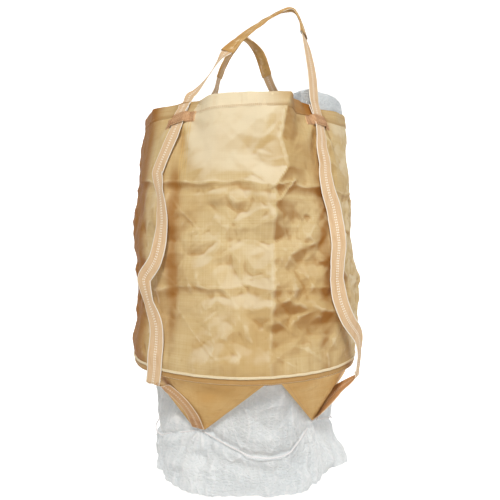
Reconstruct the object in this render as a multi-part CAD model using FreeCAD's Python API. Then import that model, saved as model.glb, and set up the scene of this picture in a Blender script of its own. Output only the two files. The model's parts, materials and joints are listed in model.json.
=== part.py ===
"""Empty bulk bag with a full drop bottom, hung by its two lifting loops.

Units are millimetres.  X is to the right, Y goes from the front to the back and Z is up.
The origin is the lifting point: the height of the hooks, midway between the two loops.
Azimuths are in degrees, 0 at the front (-Y), 90 at the right (+X), 180 at the back.
"""
import FreeCAD, Part
import math
import os

# ---------------------------------------------------------------- driving dimensions
RIM_Z = -490.0              # mouth of the tube, below the lifting point
TUBE_HEIGHT = 1160.0        # mouth to bottom seam
SKIRT_LENGTH = 575.0        # bottom seam to the discharge skirt's hem
RIM_RADIUS = 530.0
SEAM_RADIUS = 545.0
BELLY = 14.0                # how far the middle of the tube bows out
SIDE_DRAW = 40.0            # how far the mouth's left and right sides fall in
SIDE_FADE = 260.0           # height over which that dies out
PINCH_DEPTH = 95.0          # how far the loops draw the mouth in at each anchor
PINCH_SPREAD = 17.0         # degrees
PINCH_FADE = 190.0          # height over which the pinch dies out
WALL = 4.0                  # stand-in thickness of the woven tube
CLOTH = 3.0                 # stand-in thickness of hems, flaps and skirts
GAP = 0.5                   # clearance between pieces sewn face to face

WEBBING_WIDTH = 70.0
WEBBING_THICK = 3.0
SLEEVE_WIDTH = 82.0
SLEEVE_THICK = 9.0
SLEEVE_BORE_WIDTH = 75.0
SLEEVE_BORE_THICK = 5.0

HEM_HEIGHT = 58.0
HEM_RISE = 3.0              # the hem's fold stands this far above the cut edge
BINDING_HEIGHT = 26.0
BAND_HEIGHT = 46.0
BAND_WIDTH = 156.0
BAND_DROP = 76.0            # rim to the middle of the anchor band
BAND_THICK = 3.0
THREAD = 2.0                # stand-in thickness of a row of stitches

FLAP_DROP = 280.0           # bottom seam to flap tip
FLAP_TIP_RADIUS = 385.0
FLAP_TIP_WIDTH = 64.0
FLAP_SPAN = 86.0            # degrees of the seam that each flap takes up
FLAP_TOP_GAP = 44.0         # the flap swings as one piece from this far below the seam
FOLD_DROP = 62.0            # bottom seam to the strap's fold
FOLD_GAP = 10.0             # between the strap's end and the tail's end

LOOP_HINGE_RISE = 30.0      # loop webbing starts this far above the mouth
HOOK_OFFSET = 167.0         # each hook, forward or back of the lifting point
TAIL_RISE = 11.0            # tail's middle, out from the flap
BEND_RISE = 6.0             # further out where the tail turns onto the flap

SKIRT_CLEAR = 16.0          # discharge skirt, in from the seam and the flaps
SKIRT_BULGE = 452.0         # its radius between the flaps, at the height of their tips
SKIRT_HEM_RADIUS = 432.0
SKIRT_CORNER_AZIMUTH = 80.0
SKIRT_CORNER = 72.0         # how far one corner of its hem stands out

CORD_RADIUS = 3.5
CORD_DROP = 14.0            # flap tip to the cord
CORD_SAG = 74.0
CORD_STAND_OFF = 15.0       # cord's middle, out from the skirt
# Shape of one swag, as shares of the way from one tip to the next and of the sag.
CORD_SWAG = [(0.02, 0.0), (0.12, 0.24), (0.24, 0.52), (0.37, 0.83), (0.51, 1.0),
             (0.65, 0.90), (0.77, 0.63), (0.89, 0.27), (0.98, 0.0)]

FILL_INSET = 12.0           # filling skirt's collar, in from the mouth
FILL_DEPTH = 55.0
FILL_TOP_DROP = 2.0
LOBE_CENTRE = (352.0, -15.0)
LOBE_HALF_WIDTH = 104.0
LOBE_HALF_LENGTH = 178.0
LOBE_RISE = 145.0

SEAM_Z = RIM_Z - TUBE_HEIGHT
HEM_Z = SEAM_Z - SKIRT_LENGTH
TIP_Z = SEAM_Z - FLAP_DROP
BAND_Z = RIM_Z - BAND_DROP
FOLD_Z = SEAM_Z - FOLD_DROP
CORD_LEVEL = TIP_Z - CORD_DROP

ANCHORS = {"front_left": -38.6, "front_right": 46.0, "rear_right": 131.0, "rear_left": -132.0}
FLAPS = {"front_left": -32.0, "front_right": 58.0, "rear_right": 148.0, "rear_left": -122.0}
SECTION_POINTS = 48

# Each loose strap: height above the bottom seam, azimuth, distance off the tube.
STRAP_ROUTES = {
    "front_left": [(1160, -38.6, 17), (1010, -39.4, 10), (850, -45.4, 14), (725, -40.5, 15), (640, -39, 16),
                   (520, -39.6, 26), (385, -46.2, 46), (290, -45, 32), (195, -41.5, 22), (85, -42.3, 18),
                   (0, -43.6, 18), (-FOLD_DROP, -44.7, 20)],
    "front_right": [(1160, 46, 17), (1010, 42.6, 11), (850, 40, 14), (765, 40.6, 15), (680, 44, 16),
                    (565, 44, 20), (385, 43.5, 24), (300, 44, 36), (215, 47.5, 52), (130, 56, 58),
                    (45, 59.5, 51), (-FOLD_DROP, 60, 38)],
    "rear_right": [(1160, 131, 17), (1010, 131, 10), (850, 133, 14), (700, 137, 16), (560, 134, 24),
                   (420, 130, 40), (300, 133, 30), (170, 138, 22), (60, 137, 22), (-FOLD_DROP, 135, 26)],
    "rear_left": [(1160, -132, 18), (1010, -132, 10), (850, -130, 14), (700, -134, 16), (560, -137, 24),
                  (400, -135, 42), (270, -131, 34), (140, -130, 24), (50, -132, 24), (-FOLD_DROP, -134, 28)],
}

# Each loop from its left foot over the hook to its right foot: X, height, turn of the
# webbing's width from the loop's plane towards Y, in degrees.
FRONT_LOOP = [(-252, RIM_Z + LOOP_HINGE_RISE, -40), (-248, -442, -42), (-226, -424, -52),
              (-192, -380, -66), (-152, -320, -74), (-116, -262, -64), (-84, -219, -38),
              (-19, -148, -50), (68, -76, -60), (140, -24, -64), (186, -3, -68), (214, 1.5, -75),
              (237, -6, -72), (252, -32, -72), (267, -75, -71), (277, -139, -66), (291, -212, -54),
              (306, -330, -47), (310, -436, -46), (310, RIM_Z + LOOP_HINGE_RISE, -46)]
FRONT_SLEEVE = (6, 15)
REAR_LOOP = [(-300, RIM_Z + LOOP_HINGE_RISE, 42), (-297, -442, 42), (-240, -388, 50),
             (-190, -316, 66), (-161, -262, 74), (-143, -198, 78), (-92, -94, 80), (-42, -30, 82),
             (-11, 1.5, 86), (22, -18, 84), (57, -50, 72), (87, -96, 54), (124, -194, 54),
             (164, -274, 60), (240, -380, 50), (307, -442, 41), (310, RIM_Z + LOOP_HINGE_RISE, 41)]
REAR_SLEEVE = (5, 12)
FRONT_FOOT_Y = -300.0
REAR_FOOT_Y = 290.0


# ---------------------------------------------------------------- shape of the tube
def polar(azimuth, radius, z):
    """Point at an azimuth, counted from the front towards the right."""
    angle = math.radians(azimuth)
    return FreeCAD.Vector(radius * math.sin(angle), -radius * math.cos(angle), z)


def turn_between(a, b):
    """Smallest angle between two azimuths."""
    return abs((a - b + 180.0) % 360.0 - 180.0)


def drawn_in(azimuth, z):
    """How far the loops draw the tube in at this place, and its empty sides fall in."""
    drop = max(RIM_Z - z, 0.0)
    nearest = min(turn_between(azimuth, anchor) for anchor in ANCHORS.values())
    pinch = PINCH_DEPTH * math.exp(-drop / PINCH_FADE) * math.exp(-(nearest / PINCH_SPREAD) ** 3)
    return pinch + SIDE_DRAW * math.exp(-drop / SIDE_FADE) * math.sin(math.radians(azimuth)) ** 2


def tube_radius(azimuth, z):
    """Outer radius of the tube."""
    share = min(max((RIM_Z - z) / TUBE_HEIGHT, 0.0), 1.0)
    plain = RIM_RADIUS + (SEAM_RADIUS - RIM_RADIUS) * share + BELLY * math.sin(math.pi * share)
    return plain - drawn_in(azimuth, z)


def ring_wire(radius_at, offset, z):
    """Closed smooth section at one height."""
    points = []
    for step in range(SECTION_POINTS):
        azimuth = 360.0 * step / SECTION_POINTS
        points.append(polar(azimuth, radius_at(azimuth, z) + offset, z))
    curve = Part.BSplineCurve()
    curve.interpolate(Points=points, PeriodicFlag=True)
    return Part.Wire([curve.toShape()])


def ring_wall(radius_at, inner, outer, levels):
    """Open ring between two offsets of a section, through the given heights."""
    outside = Part.makeLoft([ring_wire(radius_at, outer, z) for z in levels], True)
    inside = Part.makeLoft([ring_wire(radius_at, inner, z) for z in levels], True)
    return outside.cut(inside)


def ribbon(stations, width, thickness, ruled=True):
    """Flat strip through stations of (centre, width direction, face normal)."""
    wires = []
    for centre, across, normal in stations:
        half = across * (width / 2.0)
        rise = normal * (thickness / 2.0)
        corners = [centre + half + rise, centre - half + rise, centre - half - rise, centre + half - rise]
        wires.append(Part.makePolygon(corners + [corners[0]]))
    return Part.makeLoft(wires, True, ruled)


def directions(points):
    """Unit direction of a path at each of its points."""
    result = []
    for index in range(len(points)):
        before = points[max(index - 1, 0)]
        after = points[min(index + 1, len(points) - 1)]
        result.append((after - before).normalize())
    return result


def largest(shape):
    """The biggest solid of a cut shape, without the slivers that a cut can leave."""
    return max(shape.Solids, key=lambda solid: solid.Volume)


# ---------------------------------------------------------------- tube, hem, binding
def body_tube():
    steps = [0.0, 0.04, 0.1, 0.18, 0.3, 0.45, 0.65, 0.85, 1.0]
    levels = [RIM_Z - TUBE_HEIGHT * step for step in steps]
    return ring_wall(tube_radius, -WALL, 0.0, levels)


def top_hem():
    levels = [RIM_Z + HEM_RISE, RIM_Z - HEM_HEIGHT / 2, RIM_Z - HEM_HEIGHT]
    return ring_wall(tube_radius, GAP, GAP + CLOTH, levels)


def bottom_seam():
    levels = [SEAM_Z + BINDING_HEIGHT * 0.6, SEAM_Z, SEAM_Z - BINDING_HEIGHT * 0.4]
    return ring_wall(tube_radius, GAP, GAP + 2 * CLOTH, levels)


# ---------------------------------------------------------------- side webbing
def strap_points(corner):
    """Centre line of a loose strap, from the rim to its fold."""
    points = []
    for height, azimuth, off in STRAP_ROUTES[corner]:
        z = SEAM_Z + height
        points.append(polar(azimuth, tube_radius(azimuth, z) + off, z))
    points[0].z = RIM_Z - GAP
    return points


def strap_stations(corner):
    points = strap_points(corner)
    stations = []
    for point, along in zip(points, directions(points)):
        outward = FreeCAD.Vector(point.x, point.y, 0).normalize()
        across = along.cross(outward).normalize()
        stations.append((point, across, across.cross(along).normalize()))
    return stations


def side_strap(corner):
    return ribbon(strap_stations(corner), WEBBING_WIDTH, WEBBING_THICK)


def anchor_band(corner):
    """Stitched band across the webbing, sewn to the tube at both ends."""
    azimuth = ANCHORS[corner]
    top = BAND_Z + BAND_HEIGHT / 2
    bottom = BAND_Z - BAND_HEIGHT / 2
    strap_off = STRAP_ROUTES[corner][1][2]
    outer = strap_off + WEBBING_THICK / 2 + GAP + BAND_THICK
    ring = ring_wall(tube_radius, CLOTH + 2 * GAP, outer, [top, BAND_Z, bottom])
    here = polar(azimuth, tube_radius(azimuth, BAND_Z), BAND_Z)
    cutter = Part.makeBox(BAND_WIDTH, BAND_WIDTH, BAND_HEIGHT * 2)
    cutter.translate(FreeCAD.Vector(-BAND_WIDTH / 2, -BAND_WIDTH / 2, -BAND_HEIGHT))
    cutter.rotate(FreeCAD.Vector(0, 0, 0), FreeCAD.Vector(0, 0, 1), azimuth)
    cutter.translate(here)
    channel = ribbon(strap_stations(corner)[:4], WEBBING_WIDTH + 4 * GAP, WEBBING_THICK + 2 * GAP)
    return largest(ring.common(cutter).cut(channel))


# ---------------------------------------------------------------- lifting loops
def loop_stations(route, foot_y, hook_y):
    points = []
    for x, z, turn in route:
        lean = z / (RIM_Z + LOOP_HINGE_RISE)
        points.append(FreeCAD.Vector(x, hook_y + (foot_y - hook_y) * lean, z))
    stations = []
    for point, along, (x, z, turn) in zip(points, directions(points), route):
        in_plane = FreeCAD.Vector(0, 1, 0).cross(along).normalize()
        sideways = along.cross(in_plane).normalize()
        angle = math.radians(turn)
        across = in_plane * math.cos(angle) + sideways * math.sin(angle)
        stations.append((point, across, across.cross(along).normalize()))
    return stations


def loop_webbing(route, foot_y, hook_y):
    return ribbon(loop_stations(route, foot_y, hook_y), WEBBING_WIDTH, WEBBING_THICK)


def loop_sleeve(route, foot_y, hook_y, span):
    stations = loop_stations(route, foot_y, hook_y)[span[0]:span[1] + 1]
    outside = ribbon(stations, SLEEVE_WIDTH, SLEEVE_THICK)
    inside = ribbon(stations, SLEEVE_BORE_WIDTH, SLEEVE_BORE_THICK)
    return outside.cut(inside)


# ---------------------------------------------------------------- bottom flaps
def flap_tip(corner, offset=0.0):
    return polar(FLAPS[corner], FLAP_TIP_RADIUS + offset, TIP_Z)


def flap_point(corner, azimuth, share, offset=0.0):
    """Point on a flap: straight lines run from the seam to the tip."""
    base = polar(azimuth, SEAM_RADIUS + offset, SEAM_Z)
    middle = FLAPS[corner]
    sideways = polar(middle + 90.0, 1.0, 0.0)
    along_tip = (azimuth - middle) / (FLAP_SPAN / 2) * FLAP_TIP_WIDTH / 2
    tip = flap_tip(corner, offset) + sideways * along_tip
    return base * (1.0 - share) + tip * share


def flap_section(corner, share):
    """Thin closed outline of a flap at one share of its drop."""
    middle = FLAPS[corner]
    left = middle - FLAP_SPAN / 2
    right = middle + FLAP_SPAN / 2
    outer = Part.Arc(*[flap_point(corner, a, share, 0.0) for a in (left, middle, right)]).toShape()
    inner = Part.Arc(*[flap_point(corner, a, share, -CLOTH) for a in (right, middle, left)]).toShape()
    side_a = Part.makeLine(outer.Vertexes[-1].Point, inner.Vertexes[0].Point)
    side_b = Part.makeLine(inner.Vertexes[-1].Point, outer.Vertexes[0].Point)
    return Part.Wire([outer, side_a, inner, side_b])


def flap(corner):
    start = FLAP_TOP_GAP / FLAP_DROP
    return Part.makeLoft([flap_section(corner, start), flap_section(corner, 0.985)], True, True)


def tail_points(corner):
    """Centre line of the strap's tail, from its fold back to the flap's tip."""
    fold = strap_points(corner)[-1]
    inward = FreeCAD.Vector(fold.x, fold.y, 0).normalize()
    first = fold - inward * 8.0
    first.z = FOLD_Z + FOLD_GAP * 0.2
    bend = flap_point(corner, FLAPS[corner], 0.70, TAIL_RISE + BEND_RISE)
    flat, tip = [flap_point(corner, FLAPS[corner], share, TAIL_RISE) for share in (0.785, 0.97)]
    middle = (first + bend) * 0.5
    out = FreeCAD.Vector(middle.x, middle.y, 0).normalize()
    middle = middle + out * 12.0
    middle.z -= 12.0
    return [first, middle, bend, flat, tip]


def strap_tail(corner):
    points = tail_points(corner)
    outward = polar(FLAPS[corner], 1.0, 0.0)
    stations = []
    for point, along in zip(points, directions(points)):
        across = along.cross(outward).normalize()
        stations.append((point, across, across.cross(along).normalize()))
    return ribbon(stations, WEBBING_WIDTH, WEBBING_THICK)


def tip_stitch(corner):
    """Box of stitching that holds the tail to the flap's tip."""
    points = tail_points(corner)
    outward = polar(FLAPS[corner], 1.0, 0.0)
    along = (points[-1] - points[-2]).normalize()
    across = along.cross(outward).normalize()
    normal = across.cross(along).normalize()
    if normal.dot(outward) < 0:
        normal = normal * -1.0
    lift = WEBBING_THICK / 2 + GAP + THREAD / 2
    middle = (points[-1] + points[-2]) * 0.5 + normal * lift
    bars = []
    for side in (-1, 1):
        centre = middle + across * (side * WEBBING_WIDTH * 0.38)
        bars.append(bar(centre, along, across, normal, 40.0, THREAD))
        centre = middle + along * (side * 17.0)
        bars.append(bar(centre, across, along, normal, WEBBING_WIDTH * 0.7, THREAD))
    return Part.Compound(bars)


def bar(centre, along, across, normal, length, thick):
    """Small straight bar of thread."""
    half = along * (length / 2.0)
    return ribbon([(centre - half, across, normal), (centre + half, across, normal)], thick, thick)


# ---------------------------------------------------------------- discharge skirt
def smooth(value):
    value = min(max(value, 0.0), 1.0)
    return value * value * (3.0 - 2.0 * value)


def skirt_radius(azimuth, z):
    """The skirt lies behind the flaps, bulges out between them and hangs freely below."""
    share = min(max((SEAM_Z - z) / FLAP_DROP, 0.0), 1.0)
    off = min(turn_between(azimuth, middle) for middle in FLAPS.values())
    half = math.radians(FLAP_SPAN / 2)
    sideways = SEAM_RADIUS * math.sin(half) * (1.0 - share) + FLAP_TIP_WIDTH / 2 * share
    forward = SEAM_RADIUS * math.cos(half) * (1.0 - share) + FLAP_TIP_RADIUS * share
    edge = math.degrees(math.atan2(sideways, forward))
    behind = math.hypot(sideways, forward) - SKIRT_CLEAR
    bulge = SEAM_RADIUS - SKIRT_CLEAR + (SKIRT_BULGE - SEAM_RADIUS + SKIRT_CLEAR) * smooth(share * 1.5)
    above = behind + (bulge - behind) * smooth((off - edge) / (46.0 - edge))
    below = min(max((TIP_Z - z) / (TIP_Z - HEM_Z), 0.0), 1.0)
    corner = SKIRT_CORNER * below ** 2 * math.exp(-(turn_between(azimuth, SKIRT_CORNER_AZIMUTH) / 14.0) ** 2)
    return above + (SKIRT_HEM_RADIUS - above) * smooth(below * 1.5) + corner


def skirt_levels(first, last, count):
    return [first + (last - first) * step / (count - 1) for step in range(count)]


def discharge_skirt():
    return ring_wall(skirt_radius, -CLOTH, 0.0, skirt_levels(SEAM_Z - 1.0, HEM_Z, 10))


def cord_points():
    """Route of the endless cord through the four flap tips, with a swag between each two."""
    points = []
    for first in FLAPS.values():
        for way, sag in CORD_SWAG:
            azimuth = first + 90.0 * way
            z = CORD_LEVEL - CORD_SAG * sag
            points.append(polar(azimuth, skirt_radius(azimuth, z) + CORD_STAND_OFF, z))
    return points


def closing_cord():
    """Straight runs joined by tangent arcs, swept with a round section."""
    points = cord_points()
    edges = []
    start = points[0]
    for before, corner, after in zip(points, points[1:], points[2:]):
        back = before - corner
        ahead = after - corner
        half_turn = (math.pi - back.getAngle(ahead)) / 2.0
        cut = 0.45 * min(back.Length, ahead.Length)
        radius = cut / math.tan(half_turn)
        arc_in = corner + back.normalize() * cut
        arc_out = corner + ahead.normalize() * cut
        inward = ((arc_in + arc_out) * 0.5 - corner).normalize()
        middle = corner + inward * (radius / math.cos(half_turn) - radius)
        edges.append(Part.makeLine(start, arc_in))
        edges.append(Part.Arc(arc_in, middle, arc_out).toShape())
        print("cord run %.0f mm, arc radius %.0f mm" % (back.Length + cut, radius))
        start = arc_out
    edges.append(Part.makeLine(start, points[-1]))
    path = Part.Wire(edges)
    circle = Part.Wire([Part.makeCircle(CORD_RADIUS, points[0], (points[1] - points[0]).normalize())])
    tube = path.makePipeShell([circle], True, False)
    expected = math.pi * CORD_RADIUS ** 2 * path.Length
    print("cord length %.0f mm, volume over section times length %.3f" % (path.Length, tube.Volume / expected))
    return tube


# ---------------------------------------------------------------- filling skirt
def lobe_wire(share, z, inset):
    """Oval section of the lobe that stands up out of the mouth."""
    long_side = LOBE_HALF_LENGTH * share - inset
    short_side = LOBE_HALF_WIDTH * share - inset
    centre = FreeCAD.Vector(*LOBE_CENTRE, z)
    oval = Part.Ellipse(centre + FreeCAD.Vector(0, long_side, 0), centre + FreeCAD.Vector(short_side, 0, 0), centre)
    return Part.Wire([oval.toShape()])


def lobe():
    profile = [(1.0, RIM_Z - FILL_DEPTH), (1.0, RIM_Z + LOBE_RISE * 0.14), (0.93, RIM_Z + LOBE_RISE * 0.52),
               (0.72, RIM_Z + LOBE_RISE * 0.83), (0.35, RIM_Z + LOBE_RISE)]
    outside = Part.makeLoft([lobe_wire(share, z, 0.0) for share, z in profile], True)
    lowered = [(share, z - CLOTH) for share, z in profile]
    inside = Part.makeLoft([lobe_wire(share, z, CLOTH) for share, z in lowered], True)
    return outside.cut(inside)


def filling_skirt():
    """Collar sewn inside the mouth, and the lobe of loose cloth standing up at the right."""
    levels = [RIM_Z - FILL_TOP_DROP, RIM_Z - FILL_DEPTH / 2, RIM_Z - FILL_DEPTH]
    collar = ring_wall(tube_radius, -FILL_INSET - CLOTH, -FILL_INSET, levels)
    return Part.Compound([collar, lobe()])


# ---------------------------------------------------------------- write every node
def build():
    parts = {
        "body_tube": body_tube(),
        "top_hem": top_hem(),
        "bottom_seam": bottom_seam(),
        "front_loop_webbing": loop_webbing(FRONT_LOOP, FRONT_FOOT_Y, -HOOK_OFFSET),
        "rear_loop_webbing": loop_webbing(REAR_LOOP, REAR_FOOT_Y, HOOK_OFFSET),
        "front_loop_sleeve": loop_sleeve(FRONT_LOOP, FRONT_FOOT_Y, -HOOK_OFFSET, FRONT_SLEEVE),
        "rear_loop_sleeve": loop_sleeve(REAR_LOOP, REAR_FOOT_Y, HOOK_OFFSET, REAR_SLEEVE),
        "discharge_skirt": discharge_skirt(),
        "closing_cord": closing_cord(),
        "filling_skirt": filling_skirt(),
    }
    for corner in ANCHORS:
        parts[corner + "_strap"] = side_strap(corner)
        parts[corner + "_anchor_band"] = anchor_band(corner)
        parts[corner + "_flap"] = flap(corner)
        parts[corner + "_strap_tail"] = strap_tail(corner)
        parts[corner + "_tip_stitch"] = tip_stitch(corner)
    return parts


os.makedirs("parts", exist_ok=True)
for name, shape in build().items():
    if len(shape.Solids) == 1:
        shape = shape.Solids[0]
    box = shape.BoundBox
    print("%-28s solids %d valid %s volume %.0f cm3  z %.0f..%.0f" % (
        name, len(shape.Solids), shape.isValid(), shape.Volume / 1000.0, box.ZMin, box.ZMax))
    shape.exportStep("parts/" + name + ".step")
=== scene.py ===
"""Looks of an empty bulk bag that hangs by its two lifting loops.

Metres, in the model's own frame: X right, Y from the front to the back, Z up, and the origin at
the lifting point.  Azimuths are in degrees, 0 at the front (-Y), 90 at the right, 180 at the back.
"""
import json
import math

import bpy
import numpy as np
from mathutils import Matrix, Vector, geometry


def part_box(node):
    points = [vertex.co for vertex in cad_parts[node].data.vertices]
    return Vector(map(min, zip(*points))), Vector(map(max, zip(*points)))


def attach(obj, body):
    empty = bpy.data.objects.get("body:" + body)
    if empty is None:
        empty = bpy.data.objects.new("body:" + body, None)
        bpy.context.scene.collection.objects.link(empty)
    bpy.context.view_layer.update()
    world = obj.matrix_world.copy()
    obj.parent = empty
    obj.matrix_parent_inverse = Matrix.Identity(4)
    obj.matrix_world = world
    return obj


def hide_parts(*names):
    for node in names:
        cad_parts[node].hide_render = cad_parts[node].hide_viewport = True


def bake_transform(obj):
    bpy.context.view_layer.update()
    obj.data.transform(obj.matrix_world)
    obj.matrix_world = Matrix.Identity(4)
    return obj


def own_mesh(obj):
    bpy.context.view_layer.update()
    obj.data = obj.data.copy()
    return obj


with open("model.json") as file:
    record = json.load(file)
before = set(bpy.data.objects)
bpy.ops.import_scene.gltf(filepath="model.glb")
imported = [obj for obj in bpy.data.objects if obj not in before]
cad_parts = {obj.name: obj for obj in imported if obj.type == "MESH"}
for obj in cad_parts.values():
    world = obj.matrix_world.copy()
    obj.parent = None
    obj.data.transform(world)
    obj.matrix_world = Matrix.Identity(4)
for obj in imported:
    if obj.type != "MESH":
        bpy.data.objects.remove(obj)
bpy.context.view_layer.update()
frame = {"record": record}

# ---------------------------------------------------------------- places, from the frame
RIM_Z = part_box("body_tube")[1].z
SEAM_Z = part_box("body_tube")[0].z
HEM_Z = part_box("discharge_skirt")[0].z
TUBE_HEIGHT = RIM_Z - SEAM_Z
JOINTS = {joint["name"]: joint for joint in frame["record"]["behaviour"]["joints"]}
CORNERS = ("front_left", "front_right", "rear_right", "rear_left")
FRONT_FOOT_Y = JOINTS["front_loop_swing"]["pos_m"][1]
REAR_FOOT_Y = JOINTS["rear_loop_swing"]["pos_m"][1]
FOOT_Z = JOINTS["front_loop_swing"]["pos_m"][2]

RIM_RADIUS = 0.530
SEAM_RADIUS = 0.545
BELLY = 0.014               # how far the middle of the tube bows out
SIDE_DRAW = 0.040           # how far the mouth's left and right sides fall in
SIDE_FADE = 0.260           # height over which that dies out
PINCH_DEPTH = 0.095         # how far the loops draw the mouth in at each anchor
PINCH_SPREAD = 17.0         # degrees
PINCH_FADE = 0.190
GIRTH = 3.45                # round the hanging tube
FLAT_GIRTH = 3.6            # round the flat-woven tube, before it was creased

WEBBING_WIDTH = 0.070
WEBBING_THICK = 0.0026
HEM_HEIGHT = 0.056
BAND_DROP = 0.076            # rim to the middle of each anchor band
BAND_HEIGHT = 0.046
BAND_WIDTH = 0.156
FLAP_DROP = 0.280            # bottom seam to the flaps' tips
FLAP_TIP_RADIUS = 0.385
FLAP_TIP_WIDTH = 0.064
FLAP_SPAN = 89.0             # degrees of the seam that each flap takes up
FOLD_DROP = 0.062            # bottom seam to the end of each loose strap
FLOOR_DROP = 0.42            # the skirt's hem to the studio floor
TIP_Z = SEAM_Z - FLAP_DROP
BAND_Z = RIM_Z - BAND_DROP
HOOK_OFFSET = 0.167          # each hook, forward or back of the lifting point

ANCHORS = {"front_left": -38.6, "front_right": 46.0, "rear_right": 131.0, "rear_left": -132.0}
FLAPS = {"front_left": -32.0, "front_right": 58.0, "rear_right": 148.0, "rear_left": -122.0}

# Each loose strap: height above the bottom seam, azimuth, distance off the tube.
STRAP_ROUTES = {
    "front_left": [(1.160, -38.6, .009), (1.085, -38.6, .009), (1.020, -39.0, .010),
                   (.955, -41.4, .011), (.862, -45.0, .014), (.840, -45.2, .014),
                   (.745, -40.8, .015), (.660, -39, .016), (.560, -39.1, .022),
                   (.470, -40.8, .034), (.402, -46.0, .044), (.376, -46.5, .046), (.290, -45, .032),
                   (.195, -41.5, .022), (.085, -42.3, .018), (0, -43.6, .018),
                   (-FOLD_DROP, -44.7, .020)],
    "front_right": [(1.160, 46, .009), (1.085, 45.4, .010), (1.020, 42.8, .011), (.955, 40.5, .012),
                    (.885, 40.6, .013), (.840, 39.8, .014), (.765, 40.8, .015), (.680, 43.8, .016),
                    (.565, 44, .020), (.410, 43.2, .024), (.386, 43.2, .024), (.300, 44, .036),
                    (.215, 47.5, .052), (.130, 56, .058), (.045, 59.5, .051), (-FOLD_DROP, 60, .038)],
    "rear_right": [(1.160, 131, .009), (1.085, 131, .009), (1.010, 131, .010), (.850, 133, .014),
                   (.700, 137, .016), (.560, 134, .024), (.420, 130, .040), (.300, 133, .030),
                   (.170, 138, .022), (.060, 137, .022), (-FOLD_DROP, 135, .026)],
    "rear_left": [(1.160, -132, .009), (1.085, -132, .009), (1.010, -132, .010), (.850, -130, .014),
                  (.700, -134, .016), (.560, -137, .024), (.400, -135, .042), (.270, -131, .034),
                  (.140, -130, .024), (.050, -132, .024), (-FOLD_DROP, -134, .028)],
}

# How far each loose strap turns its face, in degrees, down its length.
STRAP_TURNS = {
    "front_left": [(1.16, 0), (1.0, 6), (.85, 8), (.76, -20), (.66, -4), (.55, 10), (.385, 18),
                   (.29, 0), (.195, 15), (.085, 26), (-FOLD_DROP, 24)],
    "front_right": [(1.16, 0), (1.0, -10), (.85, -14), (.70, -30), (.60, -34), (.50, -26), (.40, -16),
                    (.33, -28), (.22, -24), (.12, -6), (.05, 6), (-FOLD_DROP, 0)],
    "rear_right": [(1.16, 0), (.9, 10), (.7, -14), (.45, 16), (.25, -10), (-FOLD_DROP, 5)],
    "rear_left": [(1.16, 0), (.9, -12), (.7, 14), (.45, -14), (.25, 10), (-FOLD_DROP, -4)],
}

# Each strap's tail on its flap: side of the flap, share from seam to tip, distance off it.
TAIL_ROUTES = {
    "front_left": [(-.30, .30, .016), (-.13, .47, .010)],
    "front_right": [(.02, .44, .030)],
    "rear_right": [(-.16, .32, .020), (-.07, .50, .010)],
    "rear_left": [(-.18, .32, .020), (-.08, .50, .010)],
}
TAIL_TWIST = {"front_left": 0.0, "front_right": 50.0, "rear_right": 0.0, "rear_left": 0.0}
# How much higher one end of each anchor band is than its middle.
BAND_LEAN = {"front_left": .013, "front_right": -.003, "rear_right": .004, "rear_left": -.004}

# Each loop over its hook: X, height, turn of the webbing's width out of the loop's plane.
FRONT_LOOP = [(-.252, -.460, -40), (-.248, -.442, -42), (-.226, -.424, -52), (-.192, -.380, -66),
              (-.152, -.320, -74), (-.116, -.262, -64), (-.084, -.219, -38), (-.019, -.148, -50),
              (.068, -.076, -60), (.140, -.024, -64), (.186, -.003, -68), (.214, .0015, -75),
              (.237, -.006, -72), (.252, -.032, -72), (.267, -.075, -71), (.277, -.139, -66),
              (.291, -.212, -54), (.306, -.330, -47), (.310, -.436, -46), (.310, -.460, -46)]
SLEEVE_GIRTH = 0.18
FRONT_SLEEVE = (6, 15)       # the sleeve's first and last point in the table
REAR_LOOP = [(-.300, -.460, 42), (-.297, -.442, 42), (-.240, -.388, 50), (-.190, -.316, 66),
             (-.161, -.262, 74), (-.143, -.198, 78), (-.092, -.094, 80), (-.042, -.030, 82),
             (-.011, .0015, 86), (.022, -.018, 84), (.057, -.050, 72), (.087, -.096, 54),
             (.124, -.194, 54), (.164, -.274, 60), (.240, -.380, 50), (.307, -.442, 41),
             (.312, -.460, 41)]
REAR_SLEEVE = (5, 12)

SKIRT_CLEAR = 0.016          # in from the seam and the flaps
SKIRT_BULGE = 0.452          # its radius between the flaps, at their tips
SKIRT_HEM_RADIUS = 0.432
SKIRT_CORNER_AZIMUTH = 84.0
SKIRT_CORNER = 0.100         # how far one corner of its hem stands out
SKIRT_GIRTH = 2.9
CORD_LEVEL = TIP_Z - 0.014
CORD_SAG = 0.074
# The cord between two flap tips: share of the way, share of the sag.
CORD_SWAG = [(0.02, 0.0), (0.12, 0.20), (0.24, 0.43), (0.31, 0.58), (0.38, 0.84), (0.47, 0.93),
             (0.56, 1.0), (0.65, 0.93), (0.70, 0.70), (0.79, 0.46), (0.89, 0.22), (0.98, 0.0)]


# Stitches: length, gap to the next and thickness.
HEM_STITCH = (0.0062, 0.0024, 0.0013)
SEAM_STITCH = (0.0066, 0.0026, 0.0014)
FLAP_STITCH = (0.0062, 0.0026, 0.0013)
TIP_STITCH = (0.0055, 0.0016, 0.0017)
BAND_STITCH = (0.0060, 0.0014, 0.0022)


# ---------------------------------------------------------------- small maths
def smooth(value):
    value = np.clip(value, 0.0, 1.0)
    return value * value * (3.0 - 2.0 * value)


def grow(value, start, span):
    """0 up to start, then a smooth rise to 1 over the span."""
    return smooth((value - start) / span)


def turn_between(a, b):
    return np.abs((a - b + 180.0) % 360.0 - 180.0)


def signed_turn(a, b):
    return (a - b + 180.0) % 360.0 - 180.0


def nearest_turn(azimuth, table):
    """Degrees to the nearest of a table's azimuths."""
    return np.min([turn_between(azimuth, a) for a in table.values()], axis=0)


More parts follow.
